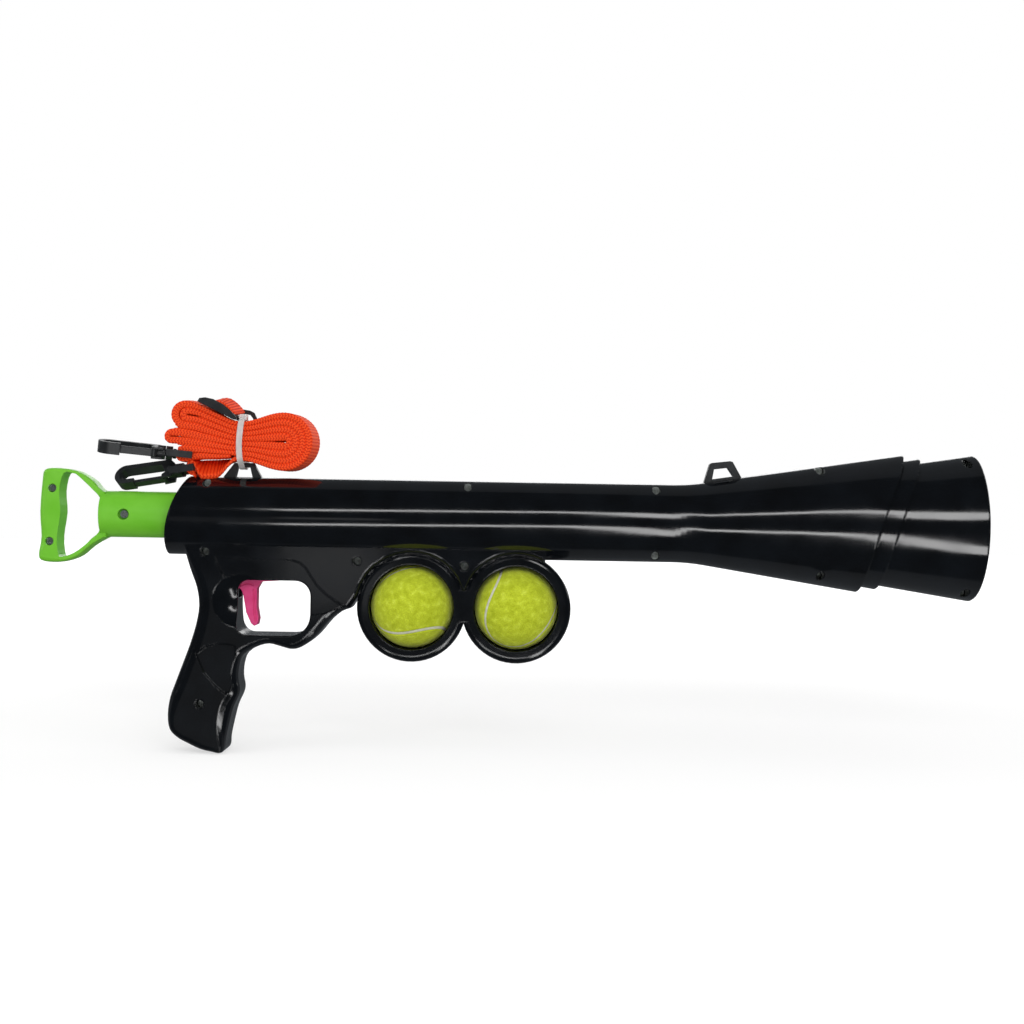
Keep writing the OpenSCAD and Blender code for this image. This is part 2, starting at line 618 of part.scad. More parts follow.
// Trigger blade, its hub and the rear arm under the sear's tail
TRIGGER = [[76, -42.2], [76.6, -48.7], [63, -49.6], [60, -55], [59.9, -68.6], [61.5, -77.8], [60.6, -82.4],
  [58.4, -83.4], [56, -81.6], [52.1, -73.3], [49.8, -61], [48.6, -57], [45.2, -53], [47.4, -48],
  [50, -42], [50.2, -38.6], [56, -38.6], [60, -42], [65.4, -42.6], [66, -41.4],
  [70, -40.6], [74, -41.2]];

// Shallow grooves in both sides: down the blade, and under the rim of its top
TRIGGER_GROOVES = [[[56.9, -55.5], [58.5, -55.5], [58.5, -66], [59.9, -79.6], [58.7, -80.6], [57.3, -72]],
  [[46.2, -52.8], [50.2, -50.8], [55, -50.6], [57.6, -52.4], [57.2, -53.2], [54.6, -51.8], [50.6, -52],
    [46.8, -53.8]]];
groove_depth = 0.9;

module trigger() color(PINK) in_hand() difference() {
  plate(TRIGGER, -trigger_half_w, trigger_half_w);
  for (g = TRIGGER_GROOVES, side = [-1, 1]) on_side(side)
    plate(g, trigger_half_w - groove_depth, trigger_half_w + past);
  cross_rod(trigger_at, pin_r + pin_gap, -10, 10);
}

// Sear: its tail over the trigger's arm, and a nose that stands before the pulled tube
nose_top = -tube_r - 1.3;
SEAR = let(n = nose_x, x = sear_at[0], z = sear_at[1])
  [[x - 13.5, z - 4], [x - 4, z - 3.8], [x, z - 4.4], [x + 10, z - 3.6], [n + 9, z - 3.4], [n + 9, z + 8],
    [n + 7.4, nose_top], [n + 1, nose_top], [n, nose_top - 2.5], [n, z + 5], [x + 8, z + 3.4],
    [x - 6, z + 3.6], [x - 13.5, z + 1]];

module sear() color("#8f969e") in_hand() difference() {
  plate(SEAR, -3, 3);
  cross_rod(sear_at, pin_r + pin_gap, -10, 10);
}

module pin(at) cross_rod(at, pin_r, -14.8, 14.8);
module trigger_pin() color(STEEL) in_hand() pin(trigger_at);
module sear_pin() color(STEEL) in_hand() pin(sear_at);

module sear_spring() color(STEEL) in_hand() {
  wire_r = 0.45;
  z0 = bay_floor + wire_r + 0.1;
  rise = sear_at[1] - 3.85 - wire_r - z0;
  tube_along([for (p = helix(2.4, rise, 4)) [nose_x + 5 + p[1], p[2], z0 + p[0]]], wire_r);
}

// Spare balls
module ball_core(at) translate([at[0], 0, at[1]]) difference() {
  sphere(r = ball_r - felt_t - seat_gap);
  sphere(r = ball_r - felt_t - core_t);
}
module ball_felt(at) translate([at[0], 0, at[1]]) difference() {
  sphere(r = ball_r);
  sphere(r = ball_r - felt_t);
}
module rear_ball_core() color("#6f6a60") in_hand() ball_core(ball_at[0]);
module rear_ball_felt() color(FELT) in_hand() ball_felt(ball_at[0]);
module front_ball_core() color("#6f6a60") in_hand() ball_core(ball_at[1]);
module front_ball_felt() color(FELT) in_hand() ball_felt(ball_at[1]);

// Webbing hank: four nested folds at the front, drawn in under the tie.
// Layer k is 0 to 3 from the middle out, side is 1 above and -1 below.
// Three loops at the rear, as centre and radius: the upper one holds the inner one
upper_lobe_over = [4, 47.6];
upper_lobe = over(upper_lobe_over);
upper_lobe_r = 8;
inner_lobe = upper_lobe + [1.8, -0.2];
inner_lobe_r = 2.6;
lower_lobe_over = [-5.5, 30.8];
lower_lobe = over(lower_lobe_over);
lower_lobe_r = 3.4;
lobe_turn = 8;

function waist_z(k, side) = waist_at[1] + side * waist_step * (k + 0.5);
function fold_r(k) = fold_step * (k + 0.8);
// From the waist to the fold, for x from waist to fold
function front_run(k, side) = [for (i = [0:5]) let(t = i / 6)
  [waist_at[0] + (fold_at[0] - waist_at[0]) * t,
    waist_z(k, side) * (1 - ease(t)) + (fold_at[1] + side * fold_r(k)) * ease(t)]];
function fold(k, from) = arc(fold_at, fold_r(k), 90 * from, -90 * from, 12);
// From a point at the rear to the waist, the point itself left out at one end
function rear_run(k, side, at) = [for (i = [0:5]) let(t = i / 6)
  [at[0] + (waist_at[0] - at[0]) * t, at[1] + (waist_z(k, side) - at[1]) * ease(t)]];
function back(list) = [for (i = [len(list) - 1:-1:0]) list[i]];
// One layer's way from the rear point on one side, round the fold, to the rear point on the other
function layer(k, from, at, to) = concat(rear_run(k, from, at), front_run(k, from), fold(k, from),
  back(front_run(k, -from)), back(rear_run(k, -from, to)));
function lobe(c, r, from) = [for (i = [1:lobe_turn - 1]) let(a = 180 * i / lobe_turn)
  c + r * [-sin(a), -from * cos(a)]];

// A tail's end goes over its hook's bar and back under it
wrap_r = eye_bar_r + 0.3 + strap_t / 2;
function wrap(bar) = arc(bar, wrap_r, 90, 290, 8);

STRAP_LINE = let(u = upper_lobe, n = inner_lobe, l = lower_lobe, up = [0, 1], off = wrap_r * up + [2, 0])
  concat(back(wrap(EYE_AT[0])),
    layer(2, -1, EYE_AT[0] + off, n + inner_lobe_r * up), back(lobe(n, inner_lobe_r, 1)),
    layer(1, 1, n - inner_lobe_r * up, l - lower_lobe_r * up), lobe(l, lower_lobe_r, 1),
    layer(0, -1, l + lower_lobe_r * up, u - upper_lobe_r * up), lobe(u, upper_lobe_r, 1),
    layer(3, 1, u + upper_lobe_r * up, EYE_AT[1] + off), wrap(EYE_AT[1]));

// Thickness at a point of the line: full in the fold and the loops, thin under the tie and in the two tails
slack_from = 18;
slack_run = 26;
function webbing_t(p) = let(x = p[0] - waist_at[0]) strap_t + (slack_t - strap_t)
  * (x > 0 ? ease(x / (fold_at[0] - waist_at[0]))
    : p[1] < waist_z(1, -1) - 0.5 ? 0 : ease((-x - slack_from) / slack_run));

// Flat band that follows a line in the XZ plane, with its thickness at each point
module band(line, w, t) {
  n = len(line);
  side = [for (i = [0:n - 1]) let(d = line[min(i + 1, n - 1)] - line[max(i - 1, 0)]) [-d[1], d[0]] / norm(d)];
  corners = [for (i = [0:n - 1], q = [[1, 1], [-1, 1], [-1, -1], [1, -1]])
    [line[i][0] + q[0] * side[i][0] * t[i] / 2, q[1] * w / 2, line[i][1] + q[0] * side[i][1] * t[i] / 2]];
  skin = [for (i = [0:n - 2], k = [0:3], q = [0, 1]) let(a = 4 * i + k, b = 4 * i + (k + 1) % 4)
    q == 0 ? [a, b, b + 4] : [a, b + 4, a + 4]];
  polyhedron(corners, concat(skin, [[0, 2, 1], [0, 3, 2], [4 * n - 4, 4 * n - 3, 4 * n - 2],
    [4 * n - 4, 4 * n - 2, 4 * n - 1]]));
}

// Least distance between layers: points further apart along the line than they are near to each other
function length_to(line) = [for (i = 0, s = 0; i < len(line);
  i = i + 1, s = s + (i < len(line) ? norm(line[i] - line[i - 1]) : 0)) s];
strap_at = length_to(STRAP_LINE);
STRAP_T = [for (p = STRAP_LINE) webbing_t(p)];
strap_gap = min([for (i = [0:len(STRAP_LINE) - 1], j = [0:len(STRAP_LINE) - 1])
  if (strap_at[j] - strap_at[i] > 11) norm(STRAP_LINE[i] - STRAP_LINE[j]) - (STRAP_T[i] + STRAP_T[j]) / 2]);
echo(strap_length = strap_at[len(strap_at) - 1], strap_least_gap = strap_gap);

module strap_webbing() color(ORANGE) in_hand() band(STRAP_LINE, strap_w, STRAP_T);

// Cable tie: a closed band under the rear loop's bar and round the hank, with its square head on top
tie_w = 4.6;
tie_t = 1.3;
tie_head = [6.4, 6, 4.6];
tie_gap = 0.6;

module cable_tie() color("#e9eaec") in_hand() {
  w = strap_w / 2 + tie_gap;
  top = waist_z(3, 1) + strap_t / 2 + tie_gap;
  low = waist_z(3, -1) - strap_t / 2 - tie_gap;
  foot = REAR_EYE[1][1] - tie_gap;
  inner = [[-loop_half_w - 1.5, foot], [loop_half_w + 1.5, foot], [w, low], [w, top], [-w, top], [-w, low]];
  outer = [[-loop_half_w - 2, foot - tie_t], [loop_half_w + 2, foot - tie_t], [w + tie_t, low - 0.5],
    [w + tie_t, top + 0.5], [w + 0.5, top + tie_t], [-w - 0.5, top + tie_t], [-w - tie_t, top + 0.5],
    [-w - tie_t, low - 0.5]];
  translate([waist_at[0] - tie_w / 2, 0, 0]) rotate([90, 0, 90]) linear_extrude(tie_w) difference() {
    polygon(outer);
    polygon(inner);
  }
  translate([waist_at[0] - tie_head[0] / 2, -tie_head[1] - 1, top + tie_t / 2]) cube(tie_head);
}

// Adjuster slide on the hank's top layer: a lens-shaped rail on each side and three bars between them
SLIDE = on_barrel([[14, 56.4], [15.6, 59], [20, 59.6], [26, 58.4], [33, 54.8], [39, 50], [43.8, 44.6],
  [43.4, 43], [41.2, 43.3]]);
SLIDE_BARS = on_barrel([[17.6, 57.4], [29.5, 54.4], [40.2, 46.7]]);
slide_bar_r = 1.6;
// The far rail goes on over the tie
SLIDE_RAIL = on_barrel([[28, 55.4], [36, 52.6], [44, 49.2], [49.6, 48.4], [51.6, 45.8], [52.8, 42.8],
  [54.6, 42.4], [55.6, 44.2], [52.6, 50.2], [49.4, 51.8], [44, 52.6], [36, 55.4], [28, 57.6]]);
slide_in = strap_w / 2 + 0.4;
slide_out = slide_in + 2.6;

module strap_adjuster() color(HARDWARE) in_hand() {
  for (side = [-1, 1]) on_side(side) plate(SLIDE, slide_in, slide_out);
  plate(SLIDE_RAIL, slide_in, slide_out);
  for (p = SLIDE_BARS) cross_rod(p, slide_bar_r, -slide_in - past, slide_in + past);
}

// End of the webbing, doubled back over the slide's middle bar. The first and last points only steer it.
END_LOOP = on_barrel([[20, 51.2], [22.8, 54.6], [26, 57], [29.5, 57.7], [33.5, 56.8], [37.4, 54.1],
  [40.6, 50.8], [42.4, 48.1], [43.6, 45.2]]);

module strap_end_loop() color(ORANGE) in_hand() {
  line = smooth(END_LOOP, 3);
  band(line, strap_w, [for (p = line) strap_t]);
}

// Snap hooks, drawn along +X from the eye's bar at the origin, with the gate below
hook_tip_x = hook_len - 8;

module hook_place(i) translate([EYE_AT[i][0], 0, EYE_AT[i][1]]) rotate([0, 0, 180 + HOOK_TURN[i][2]])
  rotate([0, HOOK_TURN[i][1], 0]) children();

// The eye's bar lies straight across the webbing, and its frame turns with the hook
module hook_eye(i) {
  w = eye_in + eye_arm;
  cross_bar = eye_in + eye_arm / 2;
  cross_rod(EYE_AT[i], eye_bar_r, -cross_bar, cross_bar);
  hook_place(i) difference() {
    union() {
      for (y = [-w, eye_in]) plate_box([-4.6, eye_face], [y, y + eye_arm], [-eye_half_t, eye_half_t]);
      plate_box([eye_front, eye_face], [-w, w], [-eye_half_t, eye_half_t]);
      x_rod(collar_r, eye_front, eye_face);
    }
    x_rod(swivel_d / 2 + swivel_gap, eye_front - past, eye_face + past);
  }
}

module hook_body() {
  r1 = hook_r + hook_t;
  x0 = eye_face + 0.3;
  x1 = x0 + collar_len;
  x_rod(swivel_d / 2, eye_front - 0.3, x0 + past);
  x_rod(swivel_d / 2 + 1.4, eye_front - 2.8, eye_front - 0.3);
  x_rod(collar_r, x0, x1);
  plate([[x0 + 1, -3], [x1 + 2, -3], [x1 + 6, hook_r], [hook_len, hook_r], [hook_len, r1],
    [x0 + 5, r1], [x0 + 1, 4.5]], -hook_w / 2, hook_w / 2);
  rotate([90, 0, 0]) translate([0, 0, -hook_w / 2]) linear_extrude(hook_w) {
    intersection() {
      translate([hook_len, 0]) difference() {
        circle(r = r1);
        circle(r = hook_r);
      }
      translate([hook_len - 0.01, -2 * r1]) square(4 * r1);
    }
    translate([hook_tip_x, -r1]) square([hook_len - hook_tip_x, hook_t]);
  }
  for (y = [-hook_w / 2, hook_w / 2 - cheek])
    plate([[x0 + 2, -2], [x0 + 2, -7.4], [gate_at[0] + 1.8, -8.2], [gate_at[0] + 1.8, -4.6], [x1 + 1, -2]],
      y, y + cheek);
  cross_rod(gate_at, gate_pin_r, -hook_w / 2, hook_w / 2);
}

module hook_gate() {
  w = hook_w / 2 - cheek - 0.2;
  tip_x = hook_tip_x - 0.4;
  r1 = hook_r + hook_t;
  difference() {
    union() {
      cross_rod(gate_at, gate_pin_r + 1, -w, w);
      plate([[gate_at[0], gate_at[1] - gate_t / 2], [tip_x, -r1 + 0.4], [tip_x, -r1 + 0.4 + gate_t],
        [gate_at[0], gate_at[1] + gate_t / 2]], -w, w);
    }
    cross_rod(gate_at, gate_pin_r + pin_gap, -hook_w, hook_w);
  }
}

module upper_hook_eye() color(HARDWARE) in_hand() hook_eye(0);
module upper_hook_body() color(HARDWARE) in_hand() hook_place(0) rotate([HOOK_TURN[0][0], 0, 0]) hook_body();
module upper_hook_gate() color(HARDWARE) in_hand() hook_place(0) rotate([HOOK_TURN[0][0], 0, 0]) hook_gate();
module lower_hook_eye() color(HARDWARE) in_hand() hook_eye(1);
module lower_hook_body() color(HARDWARE) in_hand() hook_place(1) rotate([HOOK_TURN[1][0], 0, 0]) hook_body();
module lower_hook_gate() color(HARDWARE) in_hand() hook_place(1) rotate([HOOK_TURN[1][0], 0, 0]) hook_gate();

right_shell();
left_shell();
shell_screws();
front_sling_loop();
rear_sling_loop();
handle_right_half();
handle_left_half();
handle_screws();
plunger_rod();
piston_head();
bumper_pad();
main_spring();
spring_washer();
trigger();
trigger_pin();
sear();
sear_pin();
sear_spring();
rear_ball_core();
rear_ball_felt();
front_ball_core();
front_ball_felt();
strap_webbing();
cable_tie();
strap_adjuster();
strap_end_loop();
upper_hook_eye();
upper_hook_body();
upper_hook_gate();
lower_hook_eye();
lower_hook_body();
lower_hook_gate();
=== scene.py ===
import math
import bmesh
import bpy
from mathutils import Euler, Matrix, Vector, noise
from mathutils.kdtree import KDTree


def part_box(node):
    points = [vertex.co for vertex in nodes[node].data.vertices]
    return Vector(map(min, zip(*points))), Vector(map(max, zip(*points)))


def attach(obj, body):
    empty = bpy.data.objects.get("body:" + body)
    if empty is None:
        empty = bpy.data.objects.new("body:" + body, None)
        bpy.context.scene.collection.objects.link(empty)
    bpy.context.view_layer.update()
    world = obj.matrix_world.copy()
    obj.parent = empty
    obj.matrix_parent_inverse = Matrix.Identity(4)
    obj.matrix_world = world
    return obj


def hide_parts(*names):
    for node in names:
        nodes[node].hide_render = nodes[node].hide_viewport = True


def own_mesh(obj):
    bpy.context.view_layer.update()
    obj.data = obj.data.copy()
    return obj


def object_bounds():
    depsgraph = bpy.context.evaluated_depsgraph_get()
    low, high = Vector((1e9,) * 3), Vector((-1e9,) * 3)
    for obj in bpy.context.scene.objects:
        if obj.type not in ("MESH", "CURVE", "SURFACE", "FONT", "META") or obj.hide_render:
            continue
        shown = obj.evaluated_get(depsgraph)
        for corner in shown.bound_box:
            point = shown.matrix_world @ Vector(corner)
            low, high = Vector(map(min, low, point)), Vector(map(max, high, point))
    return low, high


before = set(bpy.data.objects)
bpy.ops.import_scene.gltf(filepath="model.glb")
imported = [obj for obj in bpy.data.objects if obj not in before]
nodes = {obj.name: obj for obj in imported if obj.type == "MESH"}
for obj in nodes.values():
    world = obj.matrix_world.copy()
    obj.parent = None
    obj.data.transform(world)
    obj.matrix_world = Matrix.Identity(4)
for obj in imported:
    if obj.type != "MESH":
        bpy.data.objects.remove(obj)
cadLow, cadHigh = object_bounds()
scene = bpy.context.scene
scene.view_settings.view_transform = "Standard"
mm = 0.001
gripPoint = (23.0, 126.0)  # palm's centre behind and below the barrel's axis, mm
print("frame loaded:", len(nodes), "nodes")


def fromBarrel(x, y, z):
    # mm along, across and above the barrel's axis, to metres in the frame
    return Vector(((x - gripPoint[0]) * mm, y * mm, (z + gripPoint[1]) * mm))


def hexColour(code):
    parts = [int(code[i:i + 2], 16) / 255 for i in (1, 3, 5)]
    return [c / 12.92 if c <= 0.04045 else ((c + 0.055) / 1.055) ** 2.4 for c in parts] + [1.0]


def perMetre(sizeMm):
    # texture scale that gives a pattern of this size
    return 1 / (sizeMm * mm)


def addNode(tree, kind, sockets=None, stops=None, **settings):
    node = tree.nodes.new("ShaderNode" + kind)
    for name, value in settings.items():
        setattr(node, name, value)
    for key, value in (sockets or {}).items():
        if isinstance(value, bpy.types.NodeSocket):
            tree.links.new(value, node.inputs[key])
        else:
            node.inputs[key].default_value = value
    for i, (place, code) in enumerate(stops or []):
        ramp = node.color_ramp.elements
        stop = ramp[i] if i < 2 else ramp.new(place)
        stop.position = place
        stop.color = hexColour(code)
    return node


def startMaterial(name):
    mat = bpy.data.materials.new(name)
    mat.use_nodes = True
    mat.node_tree.nodes.clear()
    return mat, mat.node_tree, addNode(mat.node_tree, "TexCoord").outputs["Object"]


def endMaterial(mat, sockets):
    shader = addNode(mat.node_tree, "BsdfPrincipled", sockets)
    addNode(mat.node_tree, "OutputMaterial", {"Surface": shader.outputs["BSDF"]})
    return mat


def mouldedAbs(name, spec):
    # injection-moulded ABS: even colour, a polished skin with a faint orange peel,
    # slow sink marks that cloud its reflections, and corners rounded by the tool
    mat, tree, place = startMaterial(name)
    smudge = addNode(tree, "TexNoise", {"Vector": place, "Scale": perMetre(spec["smudgeMm"]), "Detail": 4.0})
    sink = addNode(tree, "TexNoise", {"Vector": place, "Scale": perMetre(spec["sinkMm"]), "Detail": 1.0})
    peel = addNode(tree, "TexNoise", {"Vector": place, "Scale": perMetre(spec["peelMm"]), "Detail": 2.0})
    colour = addNode(tree, "ValToRGB", {"Fac": smudge.outputs["Fac"]},
                     stops=[(0.3, spec["deep"]), (0.72, spec["pale"])])
    rough = addNode(tree, "MapRange", {"Value": smudge.outputs["Fac"], "From Min": 0.3, "From Max": 0.7,
                                       "To Min": spec["rough"][0], "To Max": spec["rough"][1]})
    corner = addNode(tree, "Bevel", {"Radius": spec["cornerMm"] * mm}, samples=6)
    slow = addNode(tree, "Bump", {"Height": sink.outputs["Fac"], "Strength": 1.0,
                                  "Distance": spec["sinkDepthMm"] * mm, "Normal": corner.outputs["Normal"]})
    fine = addNode(tree, "Bump", {"Height": peel.outputs["Fac"], "Strength": 1.0,
                                  "Distance": spec["peelDepthMm"] * mm, "Normal": slow.outputs["Normal"]})
    return endMaterial(mat, {"Base Color": colour.outputs["Color"], "Roughness": rough.outputs["Result"],
                             "IOR": 1.54, "Normal": fine.outputs["Normal"]})


shellFinish = {"deep": "#050608", "pale": "#090c10", "rough": (0.08, 0.13), "smudgeMm": 22, "sinkMm": 26,
               "sinkDepthMm": 0.07, "peelMm": 3, "peelDepthMm": 0.003, "cornerMm": 1.8}
handleFinish = {"deep": "#6dc327", "pale": "#78cc31", "rough": (0.28, 0.38), "smudgeMm": 16, "sinkMm": 22,
                "sinkDepthMm": 0.1, "peelMm": 1.6, "peelDepthMm": 0.006, "cornerMm": 0.7}
triggerFinish = {"deep": "#e22f7a", "pale": "#ee3f88", "rough": (0.3, 0.42), "smudgeMm": 8, "sinkMm": 12,
                 "sinkDepthMm": 0.05, "peelMm": 1.2, "peelDepthMm": 0.006, "cornerMm": 0.8}
mouldedAbsBlack = mouldedAbs("mouldedAbsBlack", shellFinish)
mouldedAbsLime = mouldedAbs("mouldedAbsLime", handleFinish)
mouldedAbsPink = mouldedAbs("mouldedAbsPink", triggerFinish)


def grainedMoulding(name, spec):
    # moulded acetal or rubber: a fine spark-eroded grain that greys the highlights, with slow scuffs over it
    mat, tree, place = startMaterial(name)
    grain = addNode(tree, "TexNoise", {"Vector": place, "Scale": perMetre(spec["grainMm"]), "Detail": 3.0})
    scuff = addNode(tree, "TexNoise", {"Vector": place, "Scale": perMetre(spec["scuffMm"]), "Detail": 4.0})
    colour = addNode(tree, "ValToRGB", {"Fac": scuff.outputs["Fac"]},
                     stops=[(0.35, spec["deep"]), (0.75, spec["pale"])])
    rough = addNode(tree, "MapRange", {"Value": scuff.outputs["Fac"], "To Min": spec["rough"][0],
                                       "To Max": spec["rough"][1]})
    corner = addNode(tree, "Bevel", {"Radius": spec["cornerMm"] * mm}, samples=6)
    bump = addNode(tree, "Bump", {"Height": grain.outputs["Fac"], "Strength": 0.6,
                                  "Distance": spec["grainDepthMm"] * mm, "Normal": corner.outputs["Normal"]})
    return endMaterial(mat, {"Base Color": colour.outputs["Color"], "Roughness": rough.outputs["Result"],
                             "IOR": 1.48, "Normal": bump.outputs["Normal"]})


# the grain is really about 0.1 mm, drawn at 0.5 mm, or 0.8 mm on rubber, so that it shows
acetalGrain = {"grainMm": 0.5, "grainDepthMm": 0.02, "scuffMm": 9}
rubberGrain = {"grainMm": 0.8, "grainDepthMm": 0.02, "scuffMm": 9}
acetalBlack = grainedMoulding("mouldedAcetalBlack", {"deep": "#1b1d1f", "pale": "#2a2d30", "rough": (0.3, 0.44),
                                                     "cornerMm": 0.7, **acetalGrain})
acetalGrey = grainedMoulding("mouldedAcetalGrey", {"deep": "#5d6266", "pale": "#70767a", "rough": (0.35, 0.5),
                                                   "cornerMm": 0.5, **acetalGrain})
acetalWhite = grainedMoulding("turnedAcetalWhite", {"deep": "#d8d9d4", "pale": "#e6e6e1", "rough": (0.3, 0.42),
                                                    "cornerMm": 0.5, **acetalGrain})
nitrileBlack = grainedMoulding("mouldedNitrileRubber", {"deep": "#1b1b1c", "pale": "#2a2a2b", "rough": (0.7, 0.85),
                                                        "cornerMm": 1.0, **rubberGrain})
ballRubber = grainedMoulding("mouldedNaturalRubber", {"deep": "#3a3b36", "pale": "#4a4b45", "rough": (0.7, 0.9),
                                                      "cornerMm": 0.2, **rubberGrain})


def platedSteel(name, spec):
    # plated, phosphated or drawn steel: grey metal with fine turning marks and soft blotches
    mat, tree, place = startMaterial(name)
    blotch = addNode(tree, "TexNoise", {"Vector": place, "Scale": perMetre(spec["blotchMm"]), "Detail": 3.0})
    mark = addNode(tree, "TexNoise", {"Vector": place, "Scale": perMetre(spec["markMm"]), "Detail": 2.0})
    colour = addNode(tree, "ValToRGB", {"Fac": blotch.outputs["Fac"]},
                     stops=[(0.3, spec["deep"]), (0.7, spec["pale"])])
    rough = addNode(tree, "MapRange", {"Value": mark.outputs["Fac"], "To Min": spec["rough"][0],
                                       "To Max": spec["rough"][1]})
    corner = addNode(tree, "Bevel", {"Radius": spec["cornerMm"] * mm}, samples=4)
    bump = addNode(tree, "Bump", {"Height": mark.outputs["Fac"], "Strength": 0.5,
                                  "Distance": spec["markDepthMm"] * mm, "Normal": corner.outputs["Normal"]})
    return endMaterial(mat, {"Base Color": colour.outputs["Color"], "Metallic": spec["metal"],
                             "Roughness": rough.outputs["Result"], "Normal": bump.outputs["Normal"]})


# turning marks are about 0.1 mm apart, drawn at 0.4 to 0.5 mm so that they show
turnedFinish = {"markDepthMm": 0.01, "cornerMm": 0.25}
zincSteel = platedSteel("zincPlatedSteel", {"deep": "#b3b7bb", "pale": "#d2d5d7", "blotchMm": 2.0, "markMm": 0.4,
                                            "rough": (0.2, 0.4), "metal": 1.0, **turnedFinish})
# a phosphate coat is dull grey crystal that hides most of the metal
phosphateSteel = platedSteel("zincPhosphatedSteel", {"deep": "#5f6461", "pale": "#8f9591", "blotchMm": 1.5,
                                                     "markMm": 0.4, "rough": (0.4, 0.55), "metal": 0.4,
                                                     **turnedFinish})
springSteel = platedSteel("drawnSpringSteel", {"deep": "#7d8083", "pale": "#9b9ea0", "blotchMm": 5.0, "markMm": 0.5,
                                               "rough": (0.28, 0.45), "metal": 1.0, **turnedFinish})


def woolFelt(name, spec):
    # needled wool and nylon felt: matt optic yellow, mottled where fibres clump, with a pale fuzz at the rim
    mat, tree, place = startMaterial(name)
    clump = addNode(tree, "TexNoise", {"Vector": place, "Scale": perMetre(spec["clumpMm"]), "Detail": 3.0})
    fibre = addNode(tree, "TexNoise", {"Vector": place, "Scale": perMetre(spec["fibreMm"]), "Detail": 5.0,
                                       "Roughness": 0.7})
    base = addNode(tree, "ValToRGB", {"Fac": clump.outputs["Fac"]},
                   stops=[(0.3, spec["deep"]), (0.55, spec["mid"]), (0.8, spec["pale"])])
    thread = addNode(tree, "ValToRGB", {"Fac": fibre.outputs["Fac"]},
                     stops=[(0.34, spec["shade"]), (0.62, "#ffffff")])
    colour = addNode(tree, "Mix", {"Factor": spec["shadeShare"], 6: base.outputs["Color"],
                                   7: thread.outputs["Color"]},
                     data_type="RGBA", blend_type="MULTIPLY")
    bump = addNode(tree, "Bump", {"Height": fibre.outputs["Fac"], "Strength": 1.0,
                                  "Distance": spec["napMm"] * mm})
    return endMaterial(mat, {"Base Color": colour.outputs[2], "Roughness": 0.95, "IOR": 1.5,
                             "Specular IOR Level": 0.15, "Sheen Weight": 1.0, "Sheen Roughness": 0.35,
                             "Sheen Tint": hexColour(spec["fuzz"]), "Normal": bump.outputs["Normal"]})


# a fibre is about 0.03 mm, drawn as 0.6 mm tufts so that it shows
opticFelt = woolFelt("needledOpticFelt", {"deep": "#bac82a", "mid": "#cfdd38", "pale": "#e6f458",
                                          "shade": "#838a3c", "shadeShare": 0.55, "fuzz": "#f2fa90",
                                          "clumpMm": 5, "fibreMm": 0.6, "napMm": 0.3})


def vulcanisedSeam(name, spec):
    # vulcanised rubber cement in the seam: pale, dull and slightly uneven
    mat, tree, place = startMaterial(name)
    cloud = addNode(tree, "TexNoise", {"Vector": place, "Scale": perMetre(spec["cloudMm"]), "Detail": 3.0})
    colour = addNode(tree, "ValToRGB", {"Fac": cloud.outputs["Fac"]},
                     stops=[(0.3, spec["deep"]), (0.7, spec["pale"])])
    bump = addNode(tree, "Bump", {"Height": cloud.outputs["Fac"], "Strength": 0.5,
                                  "Distance": spec["cloudDepthMm"] * mm})
    return endMaterial(mat, {"Base Color": colour.outputs["Color"], "Roughness": 0.75, "IOR": 1.52,
                             "Normal": bump.outputs["Normal"]})


seamRubber = vulcanisedSeam("vulcanisedSeamRubber", {"deep": "#c3c4ae", "pale": "#dcdcc9", "cloudMm": 3,
                                                     "cloudDepthMm": 0.1})


def wovenPolyester(name, spec):
    # woven polyester webbing: bright orange yarns, ribs across its faces that turn to chevrons on its thick edges,
    # each lighter on top and darker in its hollows by painted highlight and painted shade in the colour
    mat, tree, place = startMaterial(name)
    along = addNode(tree, "Attribute", attribute_name="alongMm").outputs["Fac"]
    across = addNode(tree, "Attribute", attribute_name="edgeMm").outputs["Fac"]
    zigzag = addNode(tree, "Math", {0: across, 1: spec["rowMm"]}, operation="PINGPONG")
    lean = addNode(tree, "Math", {0: zigzag.outputs[0], 1: 0.5 * spec["ribMm"] / spec["rowMm"], 2: along},
                   operation="MULTIPLY_ADD")
    turn = addNode(tree, "Math", {0: lean.outputs[0], 1: 2 * math.pi / spec["ribMm"]}, operation="MULTIPLY")
    rib = addNode(tree, "Math", {0: turn.outputs[0]}, operation="COSINE")
    row = addNode(tree, "Math", {0: across, 1: 2 * math.pi / spec["rowMm"]}, operation="MULTIPLY")
    yarn = addNode(tree, "Math", {0: row.outputs[0]}, operation="COSINE")
    cloth = addNode(tree, "Math", {0: yarn.outputs[0], 1: -spec["rowShare"], 2: rib.outputs[0]},
                    operation="MULTIPLY_ADD")
    fray = addNode(tree, "TexNoise", {"Vector": place, "Scale": perMetre(spec["frayMm"]), "Detail": 4.0})
    height = addNode(tree, "Math", {0: fray.outputs["Fac"], 1: spec["frayShare"], 2: cloth.outputs[0]},
                     operation="MULTIPLY_ADD")
    # the weave's height picks the colour: painted shade in the hollows, painted highlight on the tops
    shade = addNode(tree, "MapRange", {"Value": height.outputs[0], "From Min": -0.6, "From Max": 2.0})
    colour = addNode(tree, "ValToRGB", {"Fac": shade.outputs["Result"]},
                     stops=[(0.1, spec["paintedShadeValley"]), (0.45, spec["yarn"]), (0.95, spec["paintedHighlightCrown"])])
    bump = addNode(tree, "Bump", {"Height": height.outputs[0], "Strength": 1.0,
                                  "Distance": spec["reliefMm"] * mm})
    return endMaterial(mat, {"Base Color": colour.outputs["Color"], "Roughness": 0.65, "IOR": 1.5,
                             "Specular IOR Level": 0.2, "Sheen Weight": 0.12, "Sheen Roughness": 0.4,
                             "Sheen Tint": hexColour(spec["fuzz"]), "Normal": bump.outputs["Normal"]})


